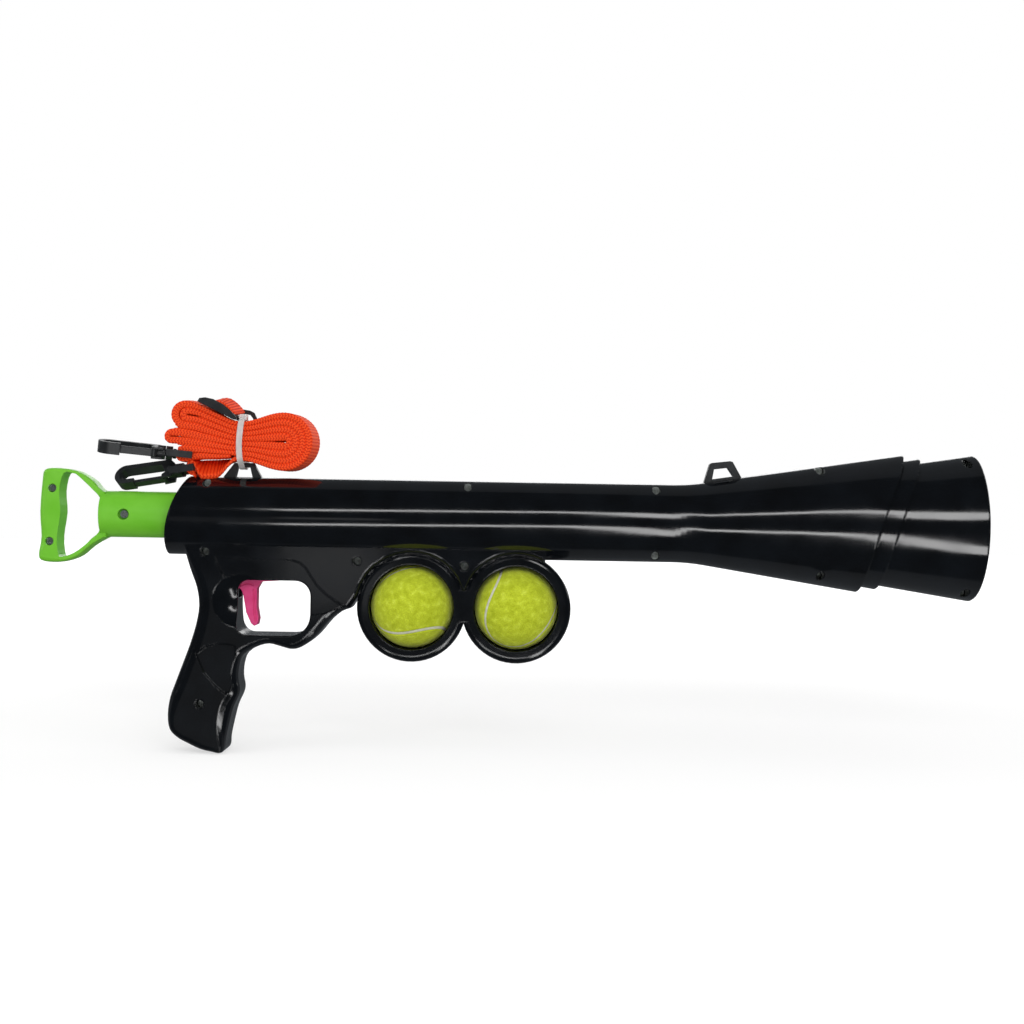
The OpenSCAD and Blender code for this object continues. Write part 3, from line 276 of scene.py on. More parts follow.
# the yarns are about 0.8 mm, drawn as ribs of 2.3 mm in rows of 1.6 mm so that they show
weaveSpec = {"ribMm": 2.3, "rowMm": 1.6}
# the dark stop is painted shade for the weave's hollows, the light stop a painted highlight on its tops
polyesterOrange = wovenPolyester("wovenPolyesterOrange", {"paintedShadeValley": "#cc2c06", "yarn": "#f6400f",
                                                          "paintedHighlightCrown": "#ff5a20", "fuzz": "#ff6a30",
                                                          "frayMm": 0.6, "frayShare": 1.4, "rowShare": 0.3,
                                                          "reliefMm": 0.12, **weaveSpec})


def naturalNylon(name, spec):
    # natural nylon 66: milky and half clear, so that what lies behind it tints it
    mat, tree, place = startMaterial(name)
    cloud = addNode(tree, "TexNoise", {"Vector": place, "Scale": perMetre(spec["cloudMm"]), "Detail": 2.0})
    colour = addNode(tree, "ValToRGB", {"Fac": cloud.outputs["Fac"]},
                     stops=[(0.3, spec["deep"]), (0.7, spec["pale"])])
    bump = addNode(tree, "Bump", {"Height": cloud.outputs["Fac"], "Strength": 0.4,
                                  "Distance": spec["cloudDepthMm"] * mm})
    return endMaterial(mat, {"Base Color": colour.outputs["Color"], "Roughness": 0.38, "IOR": 1.53,
                             "Transmission Weight": 0.45, "Subsurface Weight": 0.2,
                             "Subsurface Radius": (1.0, 0.7, 0.6), "Subsurface Scale": 0.8 * mm,
                             "Normal": bump.outputs["Normal"]})


nylonNatural = naturalNylon("mouldedNaturalNylon", {"deep": "#e6e4e2", "pale": "#f4f2f0", "cloudMm": 4,
                                                    "cloudDepthMm": 0.05})
print("materials:", len(bpy.data.materials))


def newPiece(name, mesh, body, material, slotName, *replaced):
    piece = bpy.data.objects.new(name, mesh)
    scene.collection.objects.link(piece)
    mesh.materials.clear()
    mesh.materials.append(material)
    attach(piece, body)
    if replaced:
        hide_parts(*replaced)
    return piece


def smoothed(mesh):
    mesh.polygons.foreach_set("use_smooth", [True] * len(mesh.polygons))
    return mesh


def meshFrom(name, points, faces):
    mesh = bpy.data.meshes.new(name)
    mesh.from_pydata(points, [], faces)
    mesh.update()
    return smoothed(mesh)


def meshOf(name, bm):
    mesh = bpy.data.meshes.new(name)
    bm.to_mesh(mesh)
    bm.free()
    return smoothed(mesh)


def tubeFaces(rings, around, closed=False):
    # quads from each ring of points to the next, with flat ends where the tube is open
    faces = []
    for i in range(rings if closed else rings - 1):
        here, ahead = i * around, (i + 1) % rings * around
        faces += [(here + k, here + (k + 1) % around, ahead + (k + 1) % around, ahead + k) for k in range(around)]
    if not closed:
        faces += [tuple(range(around))[::-1], tuple(range((rings - 1) * around, rings * around))]
    return faces


def axisVector(axis):
    return Vector([1.0 if n == axis else 0.0 for n in range(3)])


# camera: level, a little above the barrel's axis, with the launcher's nose down by the roll
cameraSetup = {"place": (0.2302, -1.209, 0.1326), "lensMm": 55.55, "sensorMm": 36.0, "rollDeg": 0.967,
               "clipEnd": 50.0}
lens = bpy.data.cameras.new("photoCamera")
lens.lens = cameraSetup["lensMm"]
lens.sensor_width = cameraSetup["sensorMm"]
lens.clip_end = cameraSetup["clipEnd"]
camera = bpy.data.objects.new("photoCamera", lens)
scene.collection.objects.link(camera)
camera.matrix_world = (Matrix.Translation(cameraSetup["place"]) @ Matrix.Rotation(math.pi / 2, 4, "X")
                       @ Matrix.Rotation(math.radians(cameraSetup["rollDeg"]), 4, "Z"))
scene.camera = camera
print("camera set")

# carried-over nodes and the finish of each
nodeFinish = {
    "right_shell": mouldedAbsBlack, "left_shell": mouldedAbsBlack, "front_sling_loop": acetalBlack,
    "rear_sling_loop": acetalBlack, "handle_right_half": mouldedAbsLime, "handle_left_half": mouldedAbsLime,
    "shell_screws": phosphateSteel, "handle_screws": zincSteel, "plunger_rod": acetalWhite,
    "piston_head": acetalGrey, "bumper_pad": nitrileBlack, "spring_washer": zincSteel,
    "trigger": mouldedAbsPink, "trigger_pin": zincSteel, "sear": acetalGrey, "sear_pin": zincSteel,
    "rear_ball_core": ballRubber, "front_ball_core": ballRubber, "strap_adjuster": acetalBlack,
    "upper_hook_eye": acetalBlack, "upper_hook_body": acetalBlack, "upper_hook_gate": acetalBlack,
    "lower_hook_eye": acetalBlack, "lower_hook_body": acetalBlack, "lower_hook_gate": acetalBlack}
for name, finish in nodeFinish.items():
    nodes[name].data.materials.clear()
    nodes[name].data.materials.append(finish)
print("finishes on", len(nodeFinish), "nodes")

# tennis balls: felt halves with a sunk seam, puffed along it
ballSpec = {"radiusMm": 31.75, "faceLevels": 7, "lowMm": 0.12, "mostMm": 31.95,
            "napMm": 0.16, "tuftMm": 1.6, "lumpDepthMm": 0.1, "lumpMm": 9.0,
            "seamShare": 0.895, "seamSteps": 260, "seamHalfMm": 1.35, "grooveMm": 0.75,
            # the felt puffs up beside the groove and rolls over at its lip
            "puffMm": 0.15, "puffReachMm": 3.0, "puffPace": 1.6, "puffShare": 0.62, "lipShare": 0.35, "lipPace": 6,
            # the bead in the groove
            "beadTopMm": 31.47, "beadMm": 0.6, "beadShare": 0.96, "beadSides": 8,
            # centre along and above the barrel's axis, and the seam's turn in degrees
            "balls": {"rear_ball": ((178.3, -66.7), (59.2, 217.9, 251.7)),
                      "front_ball": ((257.5, -66.7), (180.0, 223.1, 314.4))}}


def seamLine(spec, turn):
    # the one closed curve that two dumb-bell covers leave on a ball
    a = spec["seamShare"]
    b, c = 1 - a, 2 * math.sqrt(a * (1 - a))
    line = []
    for i in range(spec["seamSteps"]):
        t = 2 * math.pi * i / spec["seamSteps"]
        p = Vector((a * math.cos(t) + b * math.cos(3 * t), a * math.sin(t) - b * math.sin(3 * t),
                    c * math.sin(2 * t)))
        line.append((turn @ p).normalized())
    return line


def ballCover(name, centre, line, spec):
    bm = bmesh.new()
    bmesh.ops.create_icosphere(bm, subdivisions=spec["faceLevels"], radius=1.0)
    tree = KDTree(len(line))
    for i, p in enumerate(line):
        tree.insert(p, i)
    tree.balance()
    for v in bm.verts:
        d = v.co.normalized()
        away = tree.find(d)[2] * spec["radiusMm"]
        r = spec["radiusMm"] - spec["lowMm"]
        r += spec["napMm"] * noise.noise(d * spec["radiusMm"] / spec["tuftMm"])
        r += spec["lumpDepthMm"] * noise.noise(d * spec["radiusMm"] / spec["lumpMm"])
        if away < spec["seamHalfMm"]:
            r -= spec["grooveMm"]
        elif away < spec["seamHalfMm"] + spec["puffReachMm"]:
            t = (away - spec["seamHalfMm"]) / spec["puffReachMm"]
            if t < spec["puffShare"]:
                r += spec["puffMm"] * math.sin(math.pi * min(1, t * spec["puffPace"]))
            r -= spec["lipShare"] * spec["grooveMm"] * max(0, 1 - t * spec["lipPace"])
        v.co = centre + d * min(r, spec["mostMm"]) * mm
    return meshOf(name, bm)


def seamBead(name, centre, line, spec):
    points = []
    n, around = len(line), spec["beadSides"]
    half, deep = spec["seamHalfMm"] * spec["beadShare"], spec["beadMm"]
    for i, p in enumerate(line):
        ahead = (line[(i + 1) % n] - line[i - 1]).normalized()
        side = p.cross(ahead).normalized()
        for k in range(around):
            a = 2 * math.pi * k / around
            rise = spec["beadTopMm"] - deep + deep * math.sin(a)
            points.append(centre + (p * rise + side * half * math.cos(a)) * mm)
    return meshFrom(name, points, tubeFaces(n, around, closed=True))


for body, ((ballX, ballZ), turnDeg) in ballSpec["balls"].items():
    centre = fromBarrel(ballX, 0, ballZ)
    turn = Euler([math.radians(a) for a in turnDeg], "XYZ").to_matrix()
    line = seamLine(ballSpec, turn)
    newPiece(body + "_cover", ballCover(body + "_cover", centre, line, ballSpec), body, opticFelt,
             "ball_felt", body + "_felt")
    newPiece(body + "_seam", seamBead(body + "_seam", centre, line, ballSpec), body, seamRubber, "ball_rubber")
print("balls covered")

# sling strap: one length of webbing folded to and fro into a hank, plump where it is slack
strapSpec = {"halfWidthMm": 12.3, "tightMm": 3.1, "slackMm": 4.5, "slackFromMm": 18, "slackRunMm": 26,
             "stepMm": 0.575, "edgeDepthMm": 1.2, "edgeReliefMm": 0.22, "faceReliefMm": 0.1,
             "waverMm": 0.7, "waverLengthMm": 45,
             # its way along and above the barrel's axis: waist under the tie, fold before it, loops behind it
             "waist": (47.4, 56.9), "waistStep": 3.8, "fold": (80.6, 57.0), "foldStep": 5.2, "foldStart": 0.8,
             "upperLobe": ((4.0, 77.4), 8.0), "innerLobe": ((5.8, 77.2), 2.6), "lowerLobe": ((-5.5, 60.6), 3.4),
             "eyes": ((3.0, 46.0), (11.0, 36.0)), "wrapMm": 3.9, "wrapDeg": (90, 290), "tailAheadMm": 2,
             "sewnBack": ((6.0, 42.6), (10.5, 44.6), (15.0, 45.7), (20.0, 45.8), (25.0, 45.5), (30.0, 45.3),
                          (35.0, 45.3), (39.0, 45.4)),
             "runSteps": 6, "foldSteps": 12, "lobeSteps": 8,
             # how the hank leans and its tails roll: shares, degrees, and where each starts and how far it runs
             "foldSkew": 0.13, "lobeTilt": 0.08, "lobeBehind": (12, 20), "lobeAbove": (52, 8),
             "tailsBelowMm": 6.2, "rollBelowMm": 12.16, "tailTwistDeg": 30, "tailFromTo": (10.0, 44.0),
             "tailPace": (4.5, 1.8),
             # packed layers: reach for a neighbour, the room left between two, and inside a bend
             "apartMm": 9.0, "reachMm": (8.6, 10.5), "besideMm": 1.0, "touchMm": 0.03, "slitMm": 0.5,
             "slitRunMm": 26, "evenSteps": 8,
             # the doubled end in the slide
             "endLoop": [(20, 81), (22.8, 84.4), (26, 86.8), (29.5, 87.5), (33.5, 86.6), (37.4, 83.9),
                         (40.6, 80.6), (42.4, 77.9), (43.6, 75)],
             "endTwistDeg": 12, "endFromRun": (22, 12)}


def ease(t):
    t = min(1.0, max(0.0, t))
    return t * t * (3 - 2 * t)


def arc(c, r, a0, a1, n):
    turns = [math.radians(a0 + (a1 - a0) * k / n) for k in range(n + 1)]
    return [(c[0] + r * math.cos(a), c[1] + r * math.sin(a)) for a in turns]


def hankLine(s):
    waist, fold, runSteps = s["waist"], s["fold"], s["runSteps"]

    def waistZ(k, side):
        return waist[1] + side * s["waistStep"] * (k + 0.5)

    def foldR(k):
        return s["foldStep"] * (k + s["foldStart"])

    def frontRun(k, side):
        shares = [i / runSteps for i in range(runSteps)]
        return [(waist[0] + (fold[0] - waist[0]) * t,
                 waistZ(k, side) * (1 - ease(t)) + (fold[1] + side * foldR(k)) * ease(t)) for t in shares]

    def rearRun(k, side, at):
        shares = [i / runSteps for i in range(runSteps)]
        return [(at[0] + (waist[0] - at[0]) * t, at[1] + (waistZ(k, side) - at[1]) * ease(t)) for t in shares]

    def layer(k, side, at, to):
        return (rearRun(k, side, at) + frontRun(k, side)
                + arc(fold, foldR(k), 90 * side, -90 * side, s["foldSteps"])
                + frontRun(k, -side)[::-1] + rearRun(k, -side, to)[::-1])

    def lobe(c, r):
        turns = [math.radians(180 * i / s["lobeSteps"]) for i in range(1, s["lobeSteps"])]
        return [(c[0] - r * math.sin(a), c[1] - r * math.cos(a)) for a in turns]

    def top(c, r):
        return (c[0], c[1] + r)

    upper, inner, lower = (s[name] for name in ("upperLobe", "innerLobe", "lowerLobe"))
    tails = [(x + s["tailAheadMm"], z + s["wrapMm"]) for x, z in s["eyes"]]
    wraps = [arc(eye, s["wrapMm"], *s["wrapDeg"], 8) for eye in s["eyes"]]
    sewnBack = list(s["sewnBack"])[::-1]  # the upper tail is folded back under itself and sewn down
    return (sewnBack + wraps[0][::-1] + layer(2, -1, tails[0], top(*inner)) + lobe(*inner)[::-1]
            + layer(1, 1, top(inner[0], -inner[1]), top(lower[0], -lower[1])) + lobe(*lower)
            + layer(0, -1, top(*lower), top(upper[0], -upper[1])) + lobe(*upper)
            + layer(3, 1, top(*upper), tails[1]) + wraps[1])


def smoothLine(points, step, closedEnds=True):
    # curve through the points, then points an equal step apart along it;
    # with closedEnds off, the first and last points only steer it
    if closedEnds:
        points = [points[0]] + points + [points[-1]]
    fine, parts = [], 12
    for i in range(1, len(points) - 2):
        p = [Vector(q) for q in points[i - 1:i + 3]]
        for k in range(parts):
            t = k / parts
            fine.append(0.5 * (2 * p[1] + (p[2] - p[0]) * t + (2 * p[0] - 5 * p[1] + 4 * p[2] - p[3]) * t * t
                               + (3 * p[1] - p[0] - 3 * p[2] + p[3]) * t ** 3))
    fine.append(Vector(points[-2]))
    at = [0.0]
    for a, b in zip(fine, fine[1:]):
        at.append(at[-1] + (b - a).length)
    count = max(2, round(at[-1] / step))
    out, j = [], 0
    for i in range(count + 1):
        want = at[-1] * i / count
        while j < len(at) - 2 and at[j + 1] < want:
            j += 1
        share = (want - at[j]) / max(1e-9, at[j + 1] - at[j])
        out.append(fine[j].lerp(fine[j + 1], share))
    return out, at[-1] / count


def bandSection(w, depth):
    # webbing's section round from one lower edge: (across, up from -1 to 1, share of an edge)
    flat, edgeSteps, faceSteps = w - depth, 8, 6
    bulge, shoulder = 0.6, 0.75  # powers that square the edge's half round
    ring = []
    for side in (1, -1):
        for k in range(edgeSteps + 1):
            a = math.radians(-90 + 180 * k / edgeSteps)
            out, up = math.cos(a), math.sin(a)
            ring.append((side * (flat + depth * out ** bulge), side * math.copysign(abs(up) ** shoulder, up), out))
        ring += [(side * flat * (1 - 2 * k / faceSteps), side * 1.0, 0.0) for k in range(1, faceSteps)]
    return ring


def hankThick(p, spec):
    # thin under the tie and in the two tails, plump in the fold and the loops
    x = p.x - spec["waist"][0]
    if x > 0:
        slack = ease(x / (spec["fold"][0] - spec["waist"][0]))
    else:
        tail = p.y < spec["waist"][1] - spec["tailsBelowMm"]
        slack = 0.0 if tail else ease((-x - spec["slackFromMm"]) / spec["slackRunMm"])
    return spec["tightMm"] + (spec["slackMm"] - spec["tightMm"]) * slack


def hankTwist(p, spec):
    # the lower tail rolls its near edge down on its way to the hook
    x0, x1 = spec["tailFromTo"]
    if p.y > spec["waist"][1] - spec["rollBelowMm"] or not x0 < p.x < x1:
        return 0.0
    share = (p.x - x0) / (x1 - x0)
    start, stop = spec["tailPace"]
    return math.radians(spec["tailTwistDeg"]) * ease(share * start) * ease((1 - share) * stop)


def endThick(p, spec):
    return spec["tightMm"]


def endTwist(p, spec):
    start, run = spec["endFromRun"]
    return math.radians(spec["endTwistDeg"]) * ease((p.x - start) / run)


def layerRoom(line, ups, halves, spec):
    # half thickness above and below each point: packed layers swell until they touch
    tree = KDTree(len(line))
    for i, p in enumerate(line):
        tree.insert(p.to_3d(), i)
    tree.balance()
    near, far = spec["reachMm"]
    room = []
    for i, (p, up, half) in enumerate(zip(line, ups, halves)):
        gaps = [(far, 0.0), (far, 0.0)]
        for q, k, away in tree.find_range(p.to_3d(), far):
            rise = (q.xy - p).dot(up)
            run = abs(k - i) * spec["stepMm"]
            beside = away ** 2 - rise ** 2 < spec["besideMm"] ** 2
            if run > spec["apartMm"] and beside and abs(rise) < gaps[rise < 0][0]:
                gaps[rise < 0] = (abs(rise), run)
        sides = []
        for gap, run in gaps:
            fill = 1 - ease((gap - near) / (far - near))
            slit = spec["slitMm"] if run < spec["slitRunMm"] else spec["touchMm"]  # a bend stays open inside
            most = gap / 2 - slit if gap < far else half
            sides.append(min(most, half + (most - half) * fill))
        room.append(sides)
    # even out the steps where a neighbour starts or stops
    width = spec["evenSteps"]
    even = []
    for i, sides in enumerate(room):
        window = room[max(0, i - width):i + width + 1]
        even.append([min(side, sum(w[n] for w in window) / len(window)) for n, side in enumerate(sides)])
    return even


def webbing(name, points, spec, thick, twist, pivot, packed, closedEnds):
    line, step = smoothLine(points, spec["stepMm"], closedEnds)
    ways = [(line[min(i + 1, len(line) - 1)] - line[max(i - 1, 0)]).normalized() for i in range(len(line))]
    ups = [Vector((-d.y, d.x)) for d in ways]
    halves = [thick(p, spec) / 2 for p in line]
    room = layerRoom(line, ups, halves, spec) if packed else [(half, half) for half in halves]
    ring = bandSection(spec["halfWidthMm"], spec["edgeDepthMm"])
    (waistX, _), (foldX, _) = spec["waist"], spec["fold"]
    (behind, behindRun), (above, aboveRun) = spec["lobeBehind"], spec["lobeAbove"]
    verts, along, edge = [], [], []
    for i, (p, up) in enumerate(zip(line, ups)):
        s = i * step
        roll = math.copysign(1, up.y) * twist(p, spec)
        shift = spec["waverMm"] * noise.noise(Vector((s / spec["waverLengthMm"], 3.7, 0)))
        skew = spec["foldSkew"] * ease((p.x - waistX) / (foldX - waistX))
        raised = math.copysign(room[i][up.y < 0] * (1 - math.cos(roll)), up.y)  # its top edge stays put
        tilt = spec["lobeTilt"] * ease((waistX - behind - p.x) / behindRun) * ease((p.y - above) / aboveRun)
        for y, h, onEdge in ring:
            h *= room[i][h < 0]
            zigzag = abs((abs(h) / weaveSpec["rowMm"] + 1) % 2 - 1)
            rib = math.cos(2 * math.pi * (s / weaveSpec["ribMm"] + 0.5 * zigzag))
            yy = y + math.copysign(spec["edgeReliefMm"] * onEdge * (rib - 1), y)
            hh = h + math.copysign(spec["faceReliefMm"] * (1 - onEdge) * (rib - 1), h)
            lift = hh * math.cos(roll) + (yy - pivot) * math.sin(roll) + raised
            yy = yy * math.cos(roll) - hh * math.sin(roll) + shift
            q = p + up * lift
            verts.append(fromBarrel(q.x + skew * yy, yy, q.y + tilt * yy))
            along.append(s)
            edge.append(abs(h))
    mesh = meshFrom(name, verts, tubeFaces(len(line), len(ring)))
    for label, values in (("alongMm", along), ("edgeMm", edge)):
        mesh.attributes.new(label, "FLOAT", "POINT").data.foreach_set("value", values)
    return mesh


hank = webbing("sling_webbing", hankLine(strapSpec), strapSpec, hankThick, hankTwist,
               pivot=strapSpec["halfWidthMm"], packed=True, closedEnds=True)
newPiece("sling_webbing", hank, "body", polyesterOrange, "strap_orange", "strap_webbing")
doubled = webbing("doubled_end", strapSpec["endLoop"], strapSpec, endThick, endTwist,
                  pivot=0.0, packed=False, closedEnds=False)
newPiece("doubled_end", doubled, "body", polyesterOrange, "strap_orange", "strap_end_loop")
print("strap folded")

# cable tie: a ribbed band pulled round the hank and the rear loop's bar, with its locking head on top
tieSpec = {"halfPath": [(0, 36.15), (4.5, 36.15), (7.4, 37.2), (11, 40), (13.2, 42.6), (13.75, 45.4), (13.75, 56),
                        (13.75, 68.4), (13.3, 71.6), (11.6, 72.95), (6, 73.05), (0, 73.05)],
           "section": [(-2.3, 0.1), (-2.1, 0.55), (-1.5, 0.65), (-1.0, 0.42), (1.0, 0.42), (1.5, 0.65),
                       (2.1, 0.55), (2.3, 0.1), (2.0, -0.55), (-2.0, -0.55)],
           "x": 47.4, "sideMm": 13.75, "bowMm": 1.6, "stepMm": 0.8, "headMm": (6.4, 6.0, 4.6),
           "headAt": (-4.0, 75.35), "headRoundMm": 0.9, "stubMm": (3.8, 2.2, 1.2), "stubSunkMm": 0.4,
           "stubRaisedMm": 0.4, "stubRoundMm": 0.3}


def roundedBlock(bm, size, at, roundMm):
    made = bmesh.ops.create_cube(bm, size=1.0)["verts"]
    for v in made:
        v.co = Vector(at) + Vector([c * d for c, d in zip(v.co, size)])
    edges = list({e for v in made for e in v.link_edges})
    bmesh.ops.bevel(bm, geom=edges, offset=roundMm, segments=3, profile=0.5, affect="EDGES")


def tieMesh(name, spec):
    half = spec["halfPath"]
    path = half + [(-y, z) for y, z in half[-2:0:-1]]
    line = smoothLine(path[-1:] + path + path[:2], spec["stepMm"], False)[0][:-1]
    low, high = half[0][1], half[-1][1]
    bm = bmesh.new()
    rings = []
    for i, p in enumerate(line):
        d = (line[(i + 1) % len(line)] - line[i - 1]).normalized()
        out = Vector((d.y, -d.x))
        near = max(0.0, -p.x / spec["sideMm"])  # 1 on the near side
        bow = -spec["bowMm"] * near * math.sin(math.pi * (p.y - low) / (high - low))
        rings.append([bm.verts.new((spec["x"] + a + bow, p.x + b * out.x, p.y + b * out.y))
                      for a, b in spec["section"]])
    around = len(spec["section"])
    for i, ring in enumerate(rings):
        ahead = rings[(i + 1) % len(rings)]
        for k in range(around):
            bm.faces.new((ring[k], ring[(k + 1) % around], ahead[(k + 1) % around], ahead[k]))
    headY, headZ = spec["headAt"]
    roundedBlock(bm, spec["headMm"], (spec["x"], headY, headZ), spec["headRoundMm"])
    stubY = headY - spec["headMm"][1] / 2 - spec["stubMm"][1] / 2 + spec["stubSunkMm"]
    roundedBlock(bm, spec["stubMm"], (spec["x"], stubY, headZ + spec["stubRaisedMm"]), spec["stubRoundMm"])
    for v in bm.verts:
        v.co = fromBarrel(*v.co)
    bmesh.ops.recalc_face_normals(bm, faces=bm.faces)
    return meshOf(name, bm)


newPiece("nylon_tie", tieMesh("nylon_tie", tieSpec), "body", nylonNatural, "tie_nylon", "cable_tie")
print("tie pulled tight")

# springs: round wire with closed end coils;
# axis is 0 to 2 for x to z, and fixedEnd 0 is the low end of the node's box
springSpec = {"perTurn": 24, "sides": 10, "deadTurns": 1.25,
              "main": {"node": "main_spring", "radiusMm": 13.7, "wireMm": 2.4, "turns": 21, "joint": "pump_slide",
                       "axis": 0, "fixedEnd": 0, "keep": 0.436},
              "sear": {"node": "sear_spring", "radiusMm": 2.4, "wireMm": 0.9, "turns": 4, "joint": "sear_tilt",
                       "axis": 2, "fixedEnd": 0, "keep": 0.35}}


def coilMesh(name, low, high, spec, common):
    axis, turns, dead = spec["axis"], spec["turns"], common["deadTurns"]
    wire = spec["wireMm"] / 2
    length = (high[axis] - low[axis]) / mm - 2 * wire
    steps = turns * common["perTurn"]
    middle = (low + high) / 2
    sides = [n for n in range(3) if n != axis]
    # the end coils lie against each other, the rest share what is left
    slow = spec["wireMm"]
    fast = (length - 2 * dead * slow) / (turns - 2 * dead)
    points = []
    for i in range(steps + 1):
        turn = i / common["perTurn"]
        rise = slow * min(turn, dead) + fast * min(max(turn - dead, 0), turns - 2 * dead)
        rise += slow * max(turn - turns + dead, 0)
        p = Vector(middle)
        p[axis] = low[axis] + (wire + rise) * mm
        p[sides[0]] += spec["radiusMm"] * math.cos(2 * math.pi * turn) * mm
        p[sides[1]] += spec["radiusMm"] * math.sin(2 * math.pi * turn) * mm
        points.append(p)
    verts = []
    around = common["sides"]
    for i, p in enumerate(points):
        d = (points[min(i + 1, steps)] - points[max(i - 1, 0)]).normalized()
        side = d.cross(axisVector(axis)).normalized()
        up = side.cross(d)
        for k in range(around):
            a = 2 * math.pi * k / around
            verts.append(p + (side * math.cos(a) + up * math.sin(a)) * wire * mm)
    return meshFrom(name, verts, tubeFaces(len(points), around))


for kind in ("main", "sear"):
    spec = springSpec[kind]
    low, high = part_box(spec["node"])
    coil = newPiece(kind + "_coil", coilMesh(kind + "_coil", low, high, spec, springSpec), "body", springSteel,
                    "steel", spec["node"])
    anchor = (low + high) / 2
    anchor[spec["axis"]] = (low, high)[spec["fixedEnd"]][spec["axis"]]
    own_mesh(coil)
print("springs wound")

# studio: pale floor, strip lamps that draw the lines along the barrel, soft lamps round it and a dim room
studio = {"floorZ": cadLow.z - 0.0006, "floorSize": 14.0, "floorAt": (0.25, 0.0), "board": "#b0b0b0",
          "lift": (0.57, 0.9), "liftReach": (0.5, 2.6), "stripY": -1.3,
          # ends (x, z) and height in metres, level: long strips draw the lines, faint ones cloud web and grip
          "strips": {"upperLong": ((-0.15, 0.59), (0.36, 0.80), 0.10, 9.0),
                     "upperBend": ((0.36, 0.80), (0.49, 0.65), 0.16, 8.0),
                     "upperNear": ((0.49, 0.65), (0.62, 0.50), 0.26, 8.0),
                     "lowerLong": ((-0.15, -0.40), (0.36, -0.18), 0.10, 9.0),
                     "lowerBend": ((0.36, -0.18), (0.49, -0.555), 0.12, 8.0),
                     "lowerNear": ((0.49, -0.555), (0.62, -0.93), 0.16, 8.0),
                     "webPatch": ((-0.13, 0.04), (0.03, 0.04), 0.12, 0.55),
                     "webCardRear": ((-0.079, 0.060), (-0.047, 0.060), 0.018, 1.5),
                     "webCardFront": ((-0.036, 0.063), (0.019, 0.063), 0.015, 1.5),
                     "webCardLow": ((-0.042, 0.030), (-0.018, 0.030), 0.02, 1.5),
                     "gripPatch": ((-0.42, -0.14), (-0.14, -0.14), 0.30, 0.1)},
          # place and size in metres, level: soft lamps that shape the far side and the two ends
          "softAim": (0.25, 0.0, 0.1),
          "soft": {"rearSoft": ((0.25, 2.2, 0.8), (2.4, 0.7), 2.0),
                   "mouthSideSoft": ((2.5, 1.5, 0.9), (1.6, 0.9), 1.6),
                   "handleSideSoft": ((-2.1, 1.5, 0.9), (1.6, 0.9), 1.6),
                   "handleFrontSoft": ((-2.2, -1.5, 0.9), (1.4, 0.8), 1.4)},
          "white": "#ffffff", "ambient": 0.86,
          # what mirrors see, from before the launcher to behind it
          "room": [(0.475, "#36393b"), (0.505, "#686b6e"), (0.62, "#6c6f72"), (0.9, "#5a5d60")]}


def paintedBoard(name, spec):
    # matt painted board: pale, lifted to the background's white where it is seen, more so further out;
    # reflections and the low lamps' light go through it
    mat, tree, place = startMaterial(name)
    rays = addNode(tree, "LightPath").outputs
    shown = addNode(tree, "Math", {0: rays["Is Camera Ray"], 1: rays["Is Transmission Ray"]}, operation="MAXIMUM")
    away = addNode(tree, "VectorMath", {0: place, 1: (*spec["floorAt"], spec["floorZ"])}, operation="DISTANCE")
    reach = addNode(tree, "MapRange", {"Value": away.outputs["Value"], "From Min": spec["liftReach"][0],
                                       "From Max": spec["liftReach"][1], "To Min": spec["lift"][0],
                                       "To Max": spec["lift"][1]})
    lift = addNode(tree, "Math", {0: shown.outputs[0], 1: reach.outputs["Result"]}, operation="MULTIPLY")
    matt = addNode(tree, "BsdfDiffuse", {"Color": hexColour(spec["board"]), "Roughness": 0.8})
    glow = addNode(tree, "Emission", {"Color": hexColour(spec["white"]), "Strength": lift.outputs[0]})
    board = addNode(tree, "AddShader", {0: matt.outputs[0], 1: glow.outputs[0]})
    passed = addNode(tree, "Math", {0: rays["Is Glossy Ray"], 1: rays["Is Shadow Ray"]}, operation="MAXIMUM")
    clear = addNode(tree, "BsdfTransparent")
    both = addNode(tree, "MixShader", {0: passed.outputs[0], 1: board.outputs[0], 2: clear.outputs[0]})
    addNode(tree, "OutputMaterial", {"Surface": both.outputs[0]})
    return mat


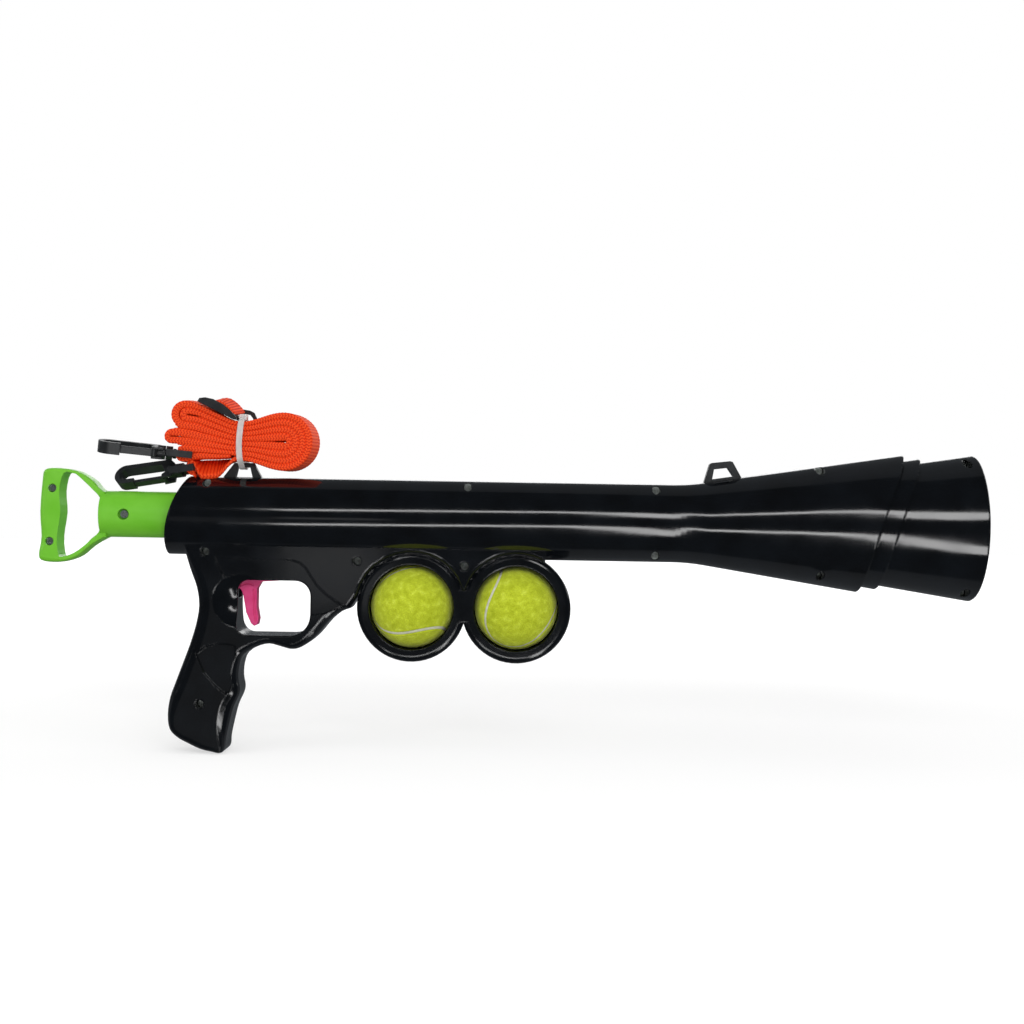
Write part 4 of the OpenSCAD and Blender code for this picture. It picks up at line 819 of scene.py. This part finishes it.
def litRoom(name, spec):
    # the room is white where it is seen, even for soft light, and dim grey in mirrors, darkest before the launcher
    world = bpy.data.worlds.new(name)
    world.use_nodes = True
    tree = world.node_tree
    tree.nodes.clear()
    rays = addNode(tree, "LightPath").outputs
    way = addNode(tree, "SeparateXYZ", {0: addNode(tree, "TexCoord").outputs["Generated"]}).outputs
    behind = addNode(tree, "MapRange", {"Value": way["Y"], "From Min": -1.0, "From Max": 1.0})
    mirrored = addNode(tree, "ValToRGB", {"Fac": behind.outputs["Result"]}, stops=spec["room"])
    shown = addNode(tree, "Math", {0: rays["Is Camera Ray"], 1: rays["Is Transmission Ray"]}, operation="MAXIMUM")
    soft = addNode(tree, "Background", {"Color": hexColour(spec["white"]), "Strength": spec["ambient"]})
    dim = addNode(tree, "Background", {"Color": mirrored.outputs["Color"], "Strength": 1.0})
    white = addNode(tree, "Background", {"Color": hexColour(spec["white"]), "Strength": 1.0})
    lit = addNode(tree, "MixShader", {0: rays["Is Glossy Ray"], 1: soft.outputs[0], 2: dim.outputs[0]})
    both = addNode(tree, "MixShader", {0: shown.outputs[0], 1: lit.outputs[0], 2: white.outputs[0]})
    addNode(tree, "OutputWorld", {"Surface": both.outputs[0]})
    return world


def addLamp(name, size, level, matrix):
    lamp = bpy.data.lights.new(name, "AREA")
    lamp.shape = "RECTANGLE"
    lamp.size, lamp.size_y = size
    lamp.energy = level * math.pi * size[0] * size[1]
    panel = bpy.data.objects.new(name, lamp)
    scene.collection.objects.link(panel)
    panel.visible_camera = False
    panel.matrix_world = matrix


floorX, floorY = studio["floorAt"]
reach = studio["floorSize"] / 2
floorMesh = meshFrom("studioFloor", [(floorX + x * reach, floorY + y * reach, studio["floorZ"])
                                     for x, y in ((-1, -1), (1, -1), (1, 1), (-1, 1))], [(0, 1, 2, 3)])
floorMesh.materials.append(paintedBoard("mattPaintedBoard", studio))
floor = bpy.data.objects.new("studioFloor", floorMesh)
scene.collection.objects.link(floor)

for name, (start, end, height, level) in studio["strips"].items():
    run = Vector((end[0] - start[0], 0, end[1] - start[1]))
    out = Vector((0, -1, 0))
    turned = Matrix((run.normalized(), out.cross(run.normalized()), out)).transposed().to_4x4()
    middle = Vector(((start[0] + end[0]) / 2, studio["stripY"], (start[1] + end[1]) / 2))
    addLamp(name, (run.length, height), level, Matrix.Translation(middle) @ turned)
for name, (spot, size, level) in studio["soft"].items():
    aim = Vector(studio["softAim"]) - Vector(spot)
    addLamp(name, size, level, Matrix.Translation(spot) @ aim.to_track_quat("-Z", "Y").to_matrix().to_4x4())
scene.world = litRoom("studioRoom", studio)
print("studio lit")
